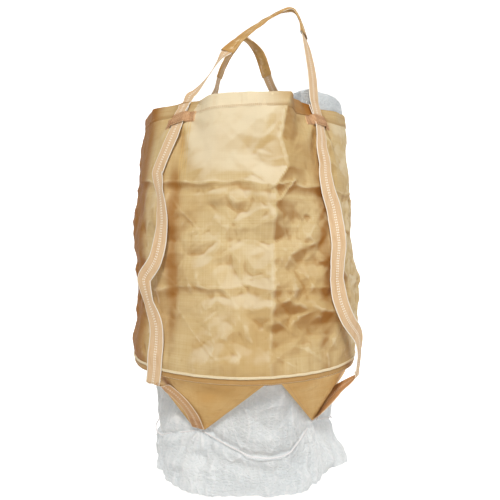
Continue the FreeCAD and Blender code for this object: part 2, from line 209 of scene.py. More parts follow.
def metres_from(azimuth, start, girth=GIRTH):
    """Signed way round the cloth from an azimuth."""
    return signed_turn(azimuth, start) / 360.0 * girth


def polar(azimuth, radius, z):
    angle = np.radians(azimuth)
    return np.stack(np.broadcast_arrays(radius * np.sin(angle), -radius * np.cos(angle), z), axis=-1)


def azimuth_of(points):
    return np.degrees(np.arctan2(points[..., 0], -points[..., 1]))


def unit(vectors):
    return vectors / np.maximum(np.linalg.norm(vectors, axis=-1, keepdims=True), 1e-12)


def level_way(points):
    """Level directions from the bag's axis to the points."""
    return unit(points * [1, 1, 0])


def bell(value, wide):
    return np.exp(-(value / wide) ** 2)


def through(knots, count):
    """Smooth curve through the knots, any number of columns, as evenly spaced rows."""
    knots = np.asarray(knots, float)
    padded = np.vstack([2 * knots[0] - knots[1], knots, 2 * knots[-1] - knots[-2]])
    rows = []
    for i in range(1, len(padded) - 2):
        a, b, c, d = padded[i - 1:i + 3]
        t = np.linspace(0, 1, 24, endpoint=False)[:, None]
        rows.append(0.5 * (2 * b + (c - a) * t + (2 * a - 5 * b + 4 * c - d) * t ** 2
                           + (3 * b - a - 3 * c + d) * t ** 3))
    dense = np.vstack(rows + [knots[-1:]])
    along = run_of(dense[:, :3])
    at = np.linspace(0, along[-1], count)
    return columns_at(at, along, dense), at


def wander(at, scale, seed, octaves=2):
    """Smooth seeded noise along one line."""
    rng = np.random.default_rng(seed)
    total = np.zeros_like(at, dtype=float)
    for octave in range(octaves):
        knots = rng.uniform(-1, 1, 4096)
        x = (at / scale * 2 ** octave) % 4094
        cell = np.floor(x).astype(int)
        total += (knots[cell] + (knots[cell + 1] - knots[cell]) * smooth(x - cell)) / 2 ** octave
    return total


# ---------------------------------------------------------------- crumpled sheet
class Crumple:
    """Heights of a creased sheet: flat facets between random points, at several sizes.

    Each layer is (facet's width, facet's height, rise); each ridge is (wave, stretch, tilt, rise).
    """

    STEP = 0.004

    def __init__(self, width, height, layers, seed, ridges=()):
        self.width, self.height = width, height
        self.cols, self.rows = int(width / self.STEP), int(height / self.STEP)
        rng = np.random.default_rng(seed)
        self.map = np.zeros((self.rows + 1, self.cols))
        for cell_wide, cell_high, rise in layers:
            self.map += rise * self.facets(cell_wide, cell_high, rng)
        self.map = self.soften(self.map)
        for wave, stretch, tilt, rise in ridges:
            line = self.waves(wave, stretch, tilt, rng)
            patch = self.waves(wave * 2.4, 1.0, 0.0, rng)
            self.map += rise * np.exp(-np.abs(line) / 0.17) * smooth(patch * 0.9 + 0.1)

    def waves(self, wave, stretch, tilt, rng):
        """Smooth waves of about one length; stretch draws them out along the tilt, in degrees."""
        white = np.fft.rfft2(rng.standard_normal((self.rows + 1, self.cols)))
        down = np.fft.fftfreq(self.rows + 1, self.height / (self.rows + 1))[:, None]
        along = np.fft.rfftfreq(self.cols, self.width / self.cols)[None, :]
        angle = math.radians(tilt)
        one = (along * math.cos(angle) + down * math.sin(angle)) * wave * stretch
        two = (down * math.cos(angle) - along * math.sin(angle)) * wave
        ring = bell(np.hypot(one, two) - 1, 0.4)
        result = np.fft.irfft2(white * ring, (self.rows + 1, self.cols))
        return result / result.std()

    def facets(self, wide, high, rng):
        across = max(3, round(self.width / wide))
        down = max(2, round(self.height / high))
        points = []
        for j in range(-1, down + 2):
            for i in range(across):
                x = (i + 0.5 * (j % 2) + rng.uniform(-0.46, 0.46)) / across * self.width
                y = (j + rng.uniform(-0.46, 0.46)) / down * self.height
                points.append((x, y, rng.uniform(-1, 1)))
        pad = 2.5 * self.width / across
        copies = [(x + s * self.width, y, h) for x, y, h in points for s in (-1, 0, 1)
                  if -pad < x + s * self.width < self.width + pad]
        flat = geometry.delaunay_2d_cdt([Vector(p[:2]) for p in copies], [], [], 0, 1e-7)
        places = np.array([tuple(v) for v in flat[0]])
        heights = np.array([copies[source[0]][2] for source in flat[3]])
        result = np.zeros((self.rows + 1, self.cols))
        scale = np.array([self.cols / self.width, self.rows / self.height])
        for corners in flat[2]:
            p = places[list(corners)] * scale
            h = heights[list(corners)]
            low = np.maximum(np.floor(p.min(0)).astype(int), 0)
            top = np.minimum(np.ceil(p.max(0)).astype(int) + 1, [self.cols, self.rows + 1])
            if (top <= low).any():
                continue
            x, y = np.meshgrid(np.arange(low[0], top[0]), np.arange(low[1], top[1]))
            (x1, y1), (x2, y2), (x3, y3) = p
            area = (y2 - y3) * (x1 - x3) + (x3 - x2) * (y1 - y3)
            if abs(area) < 1e-9:
                continue
            a = ((y2 - y3) * (x - x3) + (x3 - x2) * (y - y3)) / area
            b = ((y3 - y1) * (x - x3) + (x1 - x3) * (y - y3)) / area
            inside = (a >= -1e-6) & (b >= -1e-6) & (a + b <= 1 + 1e-6)
            patch = result[low[1]:top[1], low[0]:top[0]]
            patch[inside] = (a * h[0] + b * h[1] + (1 - a - b) * h[2])[inside]
        return result

    def soften(self, values):
        side = np.roll(values, 1, 1) + np.roll(values, -1, 1)
        values = values * 0.5 + side * 0.25
        up = np.vstack([values[:1], values[:-1]]) + np.vstack([values[1:], values[-1:]])
        return values * 0.5 + up * 0.25

    def at(self, u, v):
        """Height at a place, in the sheet's own metres."""
        x = (np.asarray(u, float) / self.width * self.cols) % self.cols
        y = np.clip(np.asarray(v, float) / self.height, 0, 1) * self.rows
        i, j = np.floor(x).astype(int) % self.cols, np.minimum(np.floor(y).astype(int), self.rows - 1)
        fx, fy, k = x - np.floor(x), y - j, (i + 1) % self.cols
        top = self.map[j, i] * (1 - fx) + self.map[j, k] * fx
        low = self.map[j + 1, i] * (1 - fx) + self.map[j + 1, k] * fx
        return top * (1 - fy) + low * fy


def crease(u, v, line, rise, width):
    """A sharp fold along a line of (u, v) points on the tube."""
    best = np.full(np.broadcast(u, v).shape, 1e9)
    for (u1, v1), (u2, v2) in zip(line, line[1:]):
        du = (u - u1 + GIRTH / 2) % GIRTH - GIRTH / 2
        eu, ev = u2 - u1, v2 - v1
        share = np.clip((du * eu + (v - v1) * ev) / max(eu * eu + ev * ev, 1e-12), 0, 1)
        best = np.minimum(best, np.hypot(du - share * eu, v - v1 - share * ev))
    return rise * np.exp(-best / width)


# ---------------------------------------------------------------- surface of the tube
def tube_radius(azimuth, z):
    share = np.clip((RIM_Z - z) / TUBE_HEIGHT, 0.0, 1.0)
    plain = RIM_RADIUS + (SEAM_RADIUS - RIM_RADIUS) * share + BELLY * np.sin(math.pi * share)
    drop = np.maximum(RIM_Z - z, 0.0)
    near = np.exp(-(nearest_turn(azimuth, ANCHORS) / PINCH_SPREAD) ** 3)
    pinch = PINCH_DEPTH * np.exp(-drop / PINCH_FADE) * near
    return plain - pinch - SIDE_DRAW * np.exp(-drop / SIDE_FADE) * np.sin(np.radians(azimuth)) ** 2


TUBE_CRUMPLE = Crumple(
    GIRTH, TUBE_HEIGHT + 0.1,
    [(.26, .32, .0180), (.14, .11, .0140), (.075, .060, .0090), (.040, .032, .0036)],
    seed=11, ridges=[(.22, 2.6, 28, .0022), (.16, 2.2, -34, .0018)])
# The upright fold down the front: share of the height, azimuth.
FRONT_FOLD = [(0, 20.6), (.07, 17.6), (.16, 15.6), (.26, 19.0), (.33, 12.6), (.5, 12.2), (.72, 11.3),
              (1, 10.6)]
FIRST_FOLD, SECOND_FOLD = 0.372, 0.812      # packing folds round the bag, below the rim
# The crushed corner, as creases round its middle: where each starts and ends, and its rise.
CRUSHED_CORNER = (((-.035, .0), (.075, -.03), .006), ((-.035, .0), (-.005, .055), .006),
                  ((.075, -.03), (-.005, .055), .007), ((-.01, -.06), (-.035, .0), .004),
                  ((-.11, -.05), (-.035, .0), -.004))
FACE_SAG = 0.136            # how flat each face hangs between two straps and its fold


def corner_azimuth(share):
    shares, azimuths = zip(*FRONT_FOLD)
    return np.interp(share, shares, azimuths)


def azimuth_in(azimuth, first):
    """The same azimuth counted on from a first one."""
    return (azimuth - first) % 360.0 + first


def tube_relief(azimuth, z):
    """How far creases and folds lift the cloth off the plain tube."""
    u = azimuth / 360.0 * GIRTH
    v = RIM_Z - z
    share = v / TUBE_HEIGHT
    calm = 0.50 + 0.55 * grow(share, 0.30, 0.14) - 0.22 * grow(share, 0.80, 0.1)
    calm = (calm + 0.2 * wander(u % GIRTH, 0.4, 5, 1)) * (1 - 0.75 * grow(share, 0.93, 0.07))
    lift = TUBE_CRUMPLE.at(u, v) * calm
    # one upright fold in each side, the front one the sharpest, with a flatter face beside it
    edges = [-132.0, -45.0, 49.0, 131.0, 228.0]
    corners = [-87.0 + 8 * share, corner_azimuth(share), 96.0 - 10 * share, 180.0 + 9 * share]
    sharps = [0.65, 1.0, 0.7, 0.8]
    for left, right, corner, sharp in zip(edges, edges[1:], corners, sharps):
        for start, end, wide in ((left, corner, 1.0), (corner, right, 0.62)):
            way = np.clip((azimuth_in(azimuth, left) - start) / (end - start), 0, 1)
            lift = lift - sharp * wide * FACE_SAG * way * (1 - way) * (1 - grow(share, 0.72, 0.26))
        gap = np.abs(metres_from(azimuth, corner))
        proud = 0.010 * np.exp(-gap / 0.055) + 0.0024 * np.exp(-gap / 0.008)
        lift = lift + sharp * proud * (1 - 0.8 * grow(share, 0.93, 0.07))
    # level folds where the bag was packed
    first = FIRST_FOLD + 0.022 * np.sin(u * 2.1 - 0.4) + 0.012 * wander(u % GIRTH, 0.12, 7)
    second = SECOND_FOLD - 0.016 * np.cos(u * 2.6 - 0.2) + 0.010 * wander(u % GIRTH, 0.15, 8)
    for level, rise in ((first, 0.0052), (second, 0.0045)):
        gap = v - level
        drawn = 0.5 + 0.5 * smooth(0.5 + 1.2 * wander(u % GIRTH, 0.16, int(level.mean() * 1000)))
        ridge = np.exp(-np.abs(gap) / 0.009) - 1.1 * bell(gap - 0.030, 0.022)
        lift = lift + drawn * rise * ridge
    # crushed corner where the front fold meets the first level fold
    cu, cv = 15.0 / 360.0 * GIRTH, FIRST_FOLD + 0.015
    for (u1, v1), (u2, v2), rise in CRUSHED_CORNER:
        lift = lift + crease(u, v, [(cu + u1, cv + v1), (cu + u2, cv + v2)], rise, 0.009)
    # long pulls that run down from each anchor
    for corner, anchor in ANCHORS.items():
        side = metres_from(azimuth, anchor)
        far = np.hypot(side, (v - BAND_DROP) * 0.55)
        way = np.arctan2(side, np.maximum(v - BAND_DROP * 0.4, 0.02) * 0.8)
        pull = np.exp(-far / 0.13) * grow(far, 0.02, 0.06) * smooth(v / 0.10)
        lift = lift + 0.0085 * pull * np.cos(9.0 * way + 1.3 * len(corner))
    # gathers along the bottom seam
    low = grow(share, 0.90, 0.10)
    lift = lift + low * 0.0028 * wander(u % GIRTH, 0.022, 21) * (1 - low * 0.45)
    # slack hollow beside the front left strap, where the panel turns to the side
    hollow = bell(signed_turn(azimuth, -35.0), 3.6) * grow(v, .28, .1) * smooth((.98 - v) / .2)
    for anchor in ANCHORS.values():
        side = metres_from(azimuth, anchor)
        lift = lift + 0.016 * bell(side, 0.055) * np.exp(-np.maximum(v, 0) / 0.05)
        # the band's stitches hold the cloth flat against the webbing
        flat = np.exp(-(side / 0.085) ** 4) * np.exp(-((v - BAND_DROP) / 0.055) ** 4)
        lift = lift * (1 - 0.85 * flat)
    # the left side drawn in, the right one pushed out at the rim, and both with sharper creases
    left, right = turn_between(azimuth, -88.0), turn_between(azimuth, 84.0)
    lift = lift - 0.020 * bell(left, 22) * grow(v, 0.60, 0.12) * smooth((1.10 - v) / 0.12)
    lift = lift + 0.026 * bell(turn_between(azimuth, 76.0), 15) * bell(v, 0.16)
    lift = lift - 0.026 * bell(azimuth_in(azimuth, -90) - 28.5, 5.5) * bell(v, 0.15)
    jag = 0.55 * TUBE_CRUMPLE.at(u + 1.3, np.clip(v, 0, TUBE_HEIGHT) * 0.92 + 0.05)
    jag = jag * (bell(left, 15) + bell(right, 15)) * (1 - grow(share, 0.93, 0.06))
    return lift + jag - 0.010 * hollow


def plain_point(azimuth, z):
    """Point on the tube without its creases."""
    return polar(azimuth, tube_radius(azimuth, z), z)


def tube_point(azimuth, z, off=0.0):
    """Point on the creased cloth, off metres outside it."""
    azimuth, z = np.broadcast_arrays(np.asarray(azimuth, float), np.asarray(z, float))
    across = plain_point(azimuth + 0.4, z) - plain_point(azimuth - 0.4, z)
    down = plain_point(azimuth, z - .003) - plain_point(azimuth, z + .003)
    lift = tube_relief(azimuth, np.minimum(z, RIM_Z)) + off
    return plain_point(azimuth, z) + unit(np.cross(down, across)) * lift[..., None]


def tube_normal(azimuth, z):
    across = tube_point(azimuth + 0.25, z) - tube_point(azimuth - 0.25, z)
    down = tube_point(azimuth, z - .002) - tube_point(azimuth, z + .002)
    return unit(np.cross(down, across))


# ---------------------------------------------------------------- meshes
def mesh_piece(name, points, faces, uvs=None, material=None):
    mesh = bpy.data.meshes.new(name)
    mesh.from_pydata(np.asarray(points, float).reshape(-1, 3).tolist(), [], faces)
    mesh.polygons.foreach_set("use_smooth", [True] * len(mesh.polygons))
    if uvs is not None:
        layer = mesh.uv_layers.new(name="UVMap")
        layer.data.foreach_set("uv", np.asarray(uvs, np.float32).ravel())
    mesh.update()
    piece = bpy.data.objects.new(name, mesh)
    bpy.context.scene.collection.objects.link(piece)
    if material:
        mesh.materials.append(material)
    return piece


def grid_piece(name, points, u, v, closed=False, material=None, caps=False, closed_rows=False):
    """Sheet from a grid of points (rows, columns, 3); u and v are metres across and down.

    closed joins the last column to the first, closed_rows the last row to the first, and caps
    closes the two ends of a closed grid.
    """
    rows, cols = points.shape[:2]
    last_col = cols if closed else cols - 1
    last_row = rows if closed_rows else rows - 1
    j, i = np.meshgrid(np.arange(last_row), np.arange(last_col), indexing="ij")
    right, below = (i + 1) % cols, (j + 1) % rows
    quads = np.stack([j * cols + i, below * cols + i, below * cols + right, j * cols + right], -1)
    u, v = np.asarray(u, float), np.asarray(v, float)
    square = np.stack([np.stack([u[i], v[j]], -1), np.stack([u[i], v[j + 1]], -1),
                       np.stack([u[i + 1], v[j + 1]], -1), np.stack([u[i + 1], v[j]], -1)], 2)
    faces, uvs = quads.reshape(-1, 4).tolist(), square.reshape(-1, 2)
    if caps:
        faces.append(list(range(cols)))
        faces.append([(rows - 1) * cols + k for k in range(cols)][::-1])
        uvs = np.vstack([uvs, np.zeros((2 * cols, 2))])
    return mesh_piece(name, points, faces, uvs, material)


def add_values(piece, name, values):
    attribute = piece.data.attributes.new(name, "FLOAT", "POINT")
    attribute.data.foreach_set("value", np.asarray(values, np.float32).ravel())


def webbing_section():
    """Outline of the ribbed webbing: place across it, and height."""
    place = np.linspace(-0.5, 0.5, 29)
    edge = (1 - np.abs(place * 2) ** 10) ** 0.5
    rib = 0.16 * np.cos(place * 2 * math.pi * 9) + 0.30 * bell(np.abs(place) - 0.475, 0.022)
    top = WEBBING_THICK / 2 * (0.9 * edge + rib * edge)
    return (np.concatenate([place, place[::-1][1:-1]]) * WEBBING_WIDTH,
            np.concatenate([top, -top[::-1][1:-1]]))


SECTION = webbing_section()


def ribbon_piece(name, centres, across, along_at, material):
    """Webbing along a centre line, its width in the direction that across gives."""
    along = unit(np.gradient(centres, axis=0))
    across = unit(across - along * np.sum(across * along, -1, keepdims=True))
    face = np.cross(across, along)
    side, height = SECTION
    points = (centres[:, None] + across[:, None] * side[None, :, None]
              + face[:, None] * height[None, :, None])
    return grid_piece(name, points, np.append(side, side[0]), along_at, closed=True, material=material,
                      caps=True)


def relaxed(line):
    """Each place between its neighbours; the two ends stay."""
    result = line.copy()
    result[1:-1] = line[1:-1] * 0.5 + (line[:-2] + line[2:]) * 0.25
    return result


def run_of(line):
    """How far along a line each of its points is."""
    return np.concatenate([[0], np.cumsum(np.linalg.norm(np.diff(line, axis=0), axis=1))])


def columns_at(where, places, table):
    """Every column of a table, read at new places."""
    return np.stack([np.interp(where, places, table[:, k]) for k in range(table.shape[1])], axis=1)


def ring(line):
    """A line with its first point repeated at its end."""
    return np.vstack([line, line[:1]])


def stitches(name, rows, size, material):
    """Rows of stitches, each a six-sided lump of thread; a row is (points, normals) along its line."""
    length, gap, width = size
    starts, ends, ups = [], [], []
    for line, normals in rows:
        run = run_of(line)
        first = np.arange(gap / 2, run[-1] - length, length + gap)
        starts.append(columns_at(first, run, line))
        ends.append(columns_at(first + length, run, line))
        ups.append(columns_at(first + length / 2, run, normals))
    a, b, up = np.vstack(starts), np.vstack(ends), unit(np.vstack(ups))
    way = b - a
    side = unit(np.cross(up, way))
    share = np.array([0.0, 0.14, 0.5, 0.86, 1.0])
    swell = np.array([0.35, 0.85, 1.0, 0.85, 0.35])
    turn = np.arange(6) * math.pi / 3
    wide = np.cos(turn)[None, None, :, None] * swell[None, :, None, None] * width / 2
    high = (0.25 + np.sin(turn)[None, None, :, None] * swell[None, :, None, None] * 0.6) * width / 2
    points = (a[:, None, None] + way[:, None, None] * share[None, :, None, None]
              + side[:, None, None] * wide + up[:, None, None] * high)
    one = [(first + k, first + (k + 1) % 6, first + 6 + (k + 1) % 6, first + 6 + k)
           for first in range(0, 24, 6) for k in range(6)]
    one += [tuple(range(5, -1, -1)), tuple(range(24, 30))]
    faces = [tuple(index * 30 + k for k in face) for index in range(len(a)) for face in one]
    return mesh_piece(name, points, faces, None, material)


def on_body(piece, body, slot, *nodes):
    """The piece rides on one body and stands for the nodes."""
    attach(piece, body)
    if nodes:
        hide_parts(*nodes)
    return piece


def bending(piece, body, slot, start, end, *nodes):
    """The piece keeps its place, baked into its mesh, and stands for the nodes."""
    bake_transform(piece)
    if nodes:
        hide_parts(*nodes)
    return piece


# ---------------------------------------------------------------- materials
class Nodes:
    """Short way to write a node tree."""

    def __init__(self, name):
        self.material = bpy.data.materials.new(name)
        self.material.use_nodes = True
        self.tree = self.material.node_tree
        self.tree.nodes.clear()
        self.output = self.tree.nodes.new("ShaderNodeOutputMaterial")

    def add(self, kind, inputs=(), **settings):
        node = self.tree.nodes.new("ShaderNode" + kind)
        for key, value in settings.items():
            setattr(node, key, value)
        for key, value in dict(inputs).items():
            if isinstance(value, bpy.types.NodeSocket):
                self.tree.links.new(value, node.inputs[key])
            else:
                node.inputs[key].default_value = value
        return node

    def maths(self, operation, *values):
        return self.add("Math", dict(enumerate(values)), operation=operation).outputs[0]

    def times(self, a, b):
        return self.maths("MULTIPLY", a, b)

    def plus(self, a, b):
        return self.maths("ADD", a, b)

    def sine(self, value, wave):
        """Sine along a place in metres, of one wavelength."""
        return self.maths("SINE", self.times(value, 2 * math.pi / wave))

    def mix(self, factor, a, b):
        return self.add("Mix", {0: factor, 6: a, 7: b}, data_type="RGBA").outputs[2]

    def tint(self, colour, other, mask, strength):
        """Another colour laid over the first one, as strong as the mask says."""
        return self.mix(self.times(mask, strength), colour, other)

    def ramp(self, value, low, high):
        node = self.add("MapRange", {0: value, 1: low, 2: high}, interpolation_type="SMOOTHSTEP")
        return node.outputs[0]

    def noise(self, scale, detail=2.0, vector=None, rough=0.5):
        inputs = {"Scale": scale, "Detail": detail, "Roughness": rough}
        if vector is not None:
            inputs["Vector"] = vector
        return self.add("TexNoise", inputs).outputs[0]

    def uv(self):
        node = self.add("SeparateXYZ", {0: self.add("UVMap", uv_map="UVMap").outputs[0]})
        return node.outputs[0], node.outputs[1]

    def attribute(self, name):
        return self.add("Attribute", attribute_name=name).outputs["Fac"]

    def streaks(self, u, v, across, down, detail=3.0):
        """Noise drawn out along the cloth: so many streaks a metre across it and down it."""
        place = self.add("CombineXYZ", {0: self.times(u, across), 1: self.times(v, down)}).outputs[0]
        return self.noise(1.0, detail, place)

    def cracks(self, scale, wide):
        edge = self.add("TexVoronoi", {"Scale": scale, "Randomness": 1.0}, feature="DISTANCE_TO_EDGE")
        return self.ramp(edge.outputs[0], 0.0, wide)

    def surface(self, colour, rough, height, distance, sheen=0.0, through=None, through_share=0.0,
                specular=0.4):
        bump = self.add("Bump", {"Height": height, "Distance": distance, "Strength": 1.0}).outputs[0]
        skin = self.add("BsdfPrincipled", {"Base Color": colour, "Roughness": rough, "Normal": bump})
        skin.inputs["Specular IOR Level"].default_value = specular
        skin.inputs["Sheen Weight"].default_value = sheen
        skin.inputs["Sheen Roughness"].default_value = 0.5
        result = skin.outputs[0]
        if through is not None:
            glow = self.add("BsdfTranslucent", {"Color": through, "Normal": bump})
            result = self.add("MixShader", {0: through_share, 1: result, 2: glow.outputs[0]}).outputs[0]
        self.tree.links.new(result, self.output.inputs[0])
        return self.material


def srgb(red, green, blue):
    """Linear colour from display values of 0 to 255."""
    parts = [c / 255.0 for c in (red, green, blue)]
    return tuple(c / 12.92 if c <= 0.04045 else ((c + 0.055) / 1.055) ** 2.4 for c in parts) + (1.0,)


TAPE_WAVE = 0.0052            # two tapes of the tan weave
TAN_RELIEF = 0.00035
WEBBING_RELIEF = 0.00045
FILM_RELIEF = 0.0016


def woven(name, light, dark, warm, through=0.22, shaded=False, wear_and_hollow_shade=True):
    """Cloth woven from flat plastic tapes: fine weave, streaks, blotches, pale rubbed creases,
    painted shade in the hollows between creases, and where shaded, painted shade and painted light.
    """
    n = Nodes(name)
    u, v = n.uv()
    weave = n.times(n.sine(u, TAPE_WAVE), n.sine(v, TAPE_WAVE))
    upright = n.streaks(u, v, 170.0, 2.2)
    level = n.streaks(u, v, 2.2, 190.0)
    streak = n.ramp(n.plus(n.times(upright, 0.5), n.times(level, 0.5)), 0.36, 0.64)
    blotch = n.ramp(n.noise(3.2, 4.0), 0.34, 0.68)
    grime = n.ramp(n.noise(11.0, 5.0, rough=0.62), 0.50, 0.80)
    colour = n.tint(light, dark, blotch, 0.55)
    colour = n.tint(colour, dark, streak, 0.34)
    colour = n.tint(colour, warm, grime, 0.30)
    colour = n.mix(n.ramp(weave, -0.9, 0.9), n.mix(0.10, colour, warm), colour)
    if wear_and_hollow_shade:
        worn_and_shaded = n.attribute("wear_and_hollow_shade")
        patchy = n.ramp(n.noise(14.0, 3.0), 0.35, 0.65)
        colour = n.tint(colour, WORN_RIDGE, n.times(n.ramp(worn_and_shaded, 0.35, 1.5), patchy), 0.55)
        # painted shade: the hollows between creases are darkened towards the warm colour
        colour = n.tint(colour, warm, n.ramp(worn_and_shaded, -0.25, -2.2), 0.60)
    if shaded:
        shade = n.attribute("shade")
        colour = n.tint(colour, SHADE_DARK, n.ramp(shade, 0.02, 1.0), 0.94)
        colour = n.tint(colour, SHADE_PALE, n.ramp(shade, -0.02, -0.6), 0.80)
        # rows of shiny tapes down both sides of each strap
        away = n.maths("ABSOLUTE", n.attribute("strap_distance"))
        band = n.maths("ABSOLUTE", n.maths("SUBTRACT", away, 0.058))
        line = n.ramp(n.maths("ABSOLUTE", n.maths("SINE", n.times(band, 260.0))), 0.55, 0.95)
        line = n.times(line, n.ramp(band, 0.026, 0.020))
        colour = n.tint(colour, SHINY_TAPE, n.times(line, n.ramp(v, 0.42, 0.26)), 0.34)
    height = n.plus(n.times(weave, 0.5), n.times(streak, 0.6))
    rough = n.add("MapRange", {0: n.noise(24.0, 3.0), 3: 0.40, 4: 0.62}).outputs[0]
    glow = n.mix(0.5, colour, warm)
    return n.surface(colour, rough, height, TAN_RELIEF, 0.0, glow, through, specular=0.12)


def band_cloth(name, face, line, back):
    """Ribbed webbing: pale selvage at both edges and a dotted pale line down its middle."""
    n = Nodes(name)
    u, v = n.uv()
    rib, pick, twill = n.sine(u, 0.0045), n.sine(v, 0.0034), n.sine(n.plus(u, v), 0.007)
    streak = n.ramp(n.streaks(u, v, 420.0, 22.0), 0.35, 0.65)
    away = n.maths("ABSOLUTE", u)
    edge = n.ramp(away, 0.0295, 0.0318)
    dash = n.ramp(n.sine(v, 0.011), -0.35, 0.1)
    off_centre = n.maths("ABSOLUTE", n.maths("SUBTRACT", away, 0.0035))
    middle = n.times(n.ramp(off_centre, 0.0026, 0.0012), dash)
    stain = n.ramp(n.noise(9.0, 5.0, rough=0.6), 0.45, 0.78)
    colour = n.tint(face, back, stain, 0.45)
    colour = n.tint(colour, back, n.ramp(rib, -0.6, 0.9), 0.30)
    colour = n.tint(colour, back, streak, 0.30)
    colour = n.tint(colour, line, n.maths("MAXIMUM", edge, middle), 0.85)
    height = n.plus(n.times(rib, 0.5), n.times(n.plus(pick, twill), 0.3))
    return n.surface(colour, 0.66, height, WEBBING_RELIEF, 0.05, specular=0.2)


def film_cloth(name, light, shade):
    """Thin white crinkled cloth, partly see-through to light."""
    n = Nodes(name)
    u, v = n.uv()
    weave = n.times(n.sine(u, 0.0044), n.sine(v, 0.0044))
    ridge, fine = n.cracks(42.0, 0.22), n.cracks(110.0, 0.3)
    streak = n.ramp(n.streaks(u, v, 55.0, 5.0, detail=4.0), 0.35, 0.7)
    cloud = n.ramp(n.noise(5.0, 4.0), 0.35, 0.7)
    colour = n.tint(light, shade, cloud, 0.55)
    colour = n.tint(colour, shade, streak, 0.35)
    colour = n.tint(colour, srgb(250, 252, 253), n.maths("SUBTRACT", 1.0, ridge), 0.35)
    colour = n.tint(colour, srgb(252, 253, 255), n.ramp(n.attribute("wear_and_hollow_shade"), 0.15, 1.0), 0.7)
    height = n.plus(n.plus(n.times(ridge, 1.0), n.times(fine, 0.5)), n.times(weave, 0.08))
    return n.surface(colour, 0.42, height, FILM_RELIEF, 0.1, light, 0.35, specular=0.5)


def thread(name, light, dark):
    n = Nodes(name)
    twist = n.add("TexWave", {"Scale": 900.0, "Distortion": 1.0}).outputs["Fac"]
    return n.surface(n.tint(light, dark, n.noise(60.0, 3.0), 0.6), 0.7, twist, 0.0002, 0.2)


WORN_RIDGE, SHINY_TAPE = srgb(248, 232, 192), srgb(238, 200, 120)
SHADE_DARK, SHADE_PALE = srgb(164, 106, 42), srgb(250, 236, 204)
SHADE_RANGE = (-0.6, 1)
TAN_LIGHT, TAN_DARK, TAN_WARM = srgb(236, 214, 164), srgb(212, 174, 110), srgb(182, 126, 58)
TUBE_CLOTH = woven("tube_cloth", TAN_LIGHT, TAN_DARK, TAN_WARM, shaded=True)
HEM_CLOTH = woven("hem_cloth", srgb(212, 188, 142), srgb(188, 150, 94), TAN_WARM, wear_and_hollow_shade=False,
                  through=0.08, shaded=True)
# the flaps' cloth: a lighter copy of the tan, painted light for flaps that slope down out of the lamps
FLAP_CLOTH_LIT = woven("flap_cloth_lit", srgb(250, 212, 146), srgb(232, 176, 98), srgb(188, 122, 50))
SLEEVE_CLOTH = woven("sleeve_cloth", srgb(214, 174, 112), srgb(190, 140, 78), srgb(140, 88, 36),
                     through=0.05)
TAPE_CLOTH = woven("seam_tape", srgb(200, 160, 104), srgb(176, 130, 76), srgb(140, 94, 46),
                   wear_and_hollow_shade=False, through=0.03)
BINDING = woven("seam_binding", srgb(250, 236, 204), srgb(232, 208, 160), srgb(206, 170, 112),
                wear_and_hollow_shade=False, through=0.05)
WEBBING = band_cloth("webbing", srgb(233, 203, 165), srgb(255, 250, 238), srgb(204, 158, 108))
# the tails' webbing: a darker copy of the webbing, partly their reversed face and partly painted shade
TAIL_WEBBING_SHADED = band_cloth("tail_webbing_shaded", srgb(222, 176, 126), srgb(250, 234, 208), srgb(176, 122, 74))
BAND_CLOTH = band_cloth("anchor_band", srgb(230, 192, 148), srgb(230, 192, 148), srgb(200, 148, 102))
BROWN_THREAD = thread("brown_thread", srgb(186, 122, 76), srgb(146, 88, 50))
PALE_THREAD = thread("pale_thread", srgb(250, 238, 210), srgb(226, 196, 146))
TAN_THREAD = thread("tan_thread", srgb(206, 160, 98), srgb(170, 118, 64))
WHITE_FILM = film_cloth("skirt_cloth", srgb(242, 246, 248), srgb(206, 215, 221))
CORD_FIBRE = thread("cord_fibre", srgb(252, 250, 250), srgb(222, 220, 224))


def shade_of(azimuth, v):
    """Shade painted into the tan cloth, fixed to it and blind to the lights, v metres below the rim.

    It is dark beside the front straps, right of the front fold and on the left and right sides,
    and pale at the front's top.
    """
    turn = signed_turn(azimuth, 0)
    low = grow(v, 0.12, 0.25)
    left_strap = 0.52 * bell(signed_turn(azimuth, -36.5), 3.4)
    left_strap = left_strap + 0.26 * bell(signed_turn(azimuth, -31.0), 7.0)
    right_strap = 0.62 * bell(signed_turn(azimuth, 39.5), 3.6)
    shade = left_strap * low * (1 - 0.5 * grow(v, 0.95, 0.15)) \
        + right_strap * low * (1 - 0.5 * grow(v, 0.80, 0.2))
    shade = shade + 0.90 * smooth((-48.0 - turn) / 16.0) * smooth((turn + 125) / 20)
    past_fold = smooth((turn - corner_azimuth(v / TUBE_HEIGHT) + 0.5) / 1.6)
    past_fold = past_fold * smooth((62.0 - turn) / 10)
    shade = shade + (0.20 + 0.25 * np.exp(-v / 0.25)) * past_fold
    shade = shade + 0.35 * grow(turn, 78.0, 16) * smooth((130 - turn) / 20)
    for anchor in ANCHORS.values():
        shade = shade + 0.5 * bell(metres_from(azimuth, anchor), 0.07) * np.exp(-v / 0.10)
    pale = np.exp(-(turn_between(azimuth, -9.0) / 26.0) ** 4) * (1 - grow(v, 0.24, 0.16))
    return np.clip(shade - 0.40 * pale, *SHADE_RANGE)


def grid_normal(points):
    """Outward normals of a grid that closes round the bag."""
    return unit(np.cross(np.gradient(points, axis=0), np.roll(points, -1, 1) - np.roll(points, 1, 1)))


def wear_and_hollow_shade_of(points, scale, closed=True, reach=2):
    """How far each point of a grid stands proud of its neighbours: pale ridges, painted shade in
    valleys.
    """
    around = sum(np.roll(points, step, axis) for axis in (0, 1) for step in (reach, -reach)) / 4
    value = np.sum((points - around) * grid_normal(points), -1) / scale
    value[:reach] = 0
    value[-reach:] = 0
    if not closed:
        value[:, :reach] = 0
        value[:, -reach:] = 0
    return np.clip(value, -1.5, 1.5)


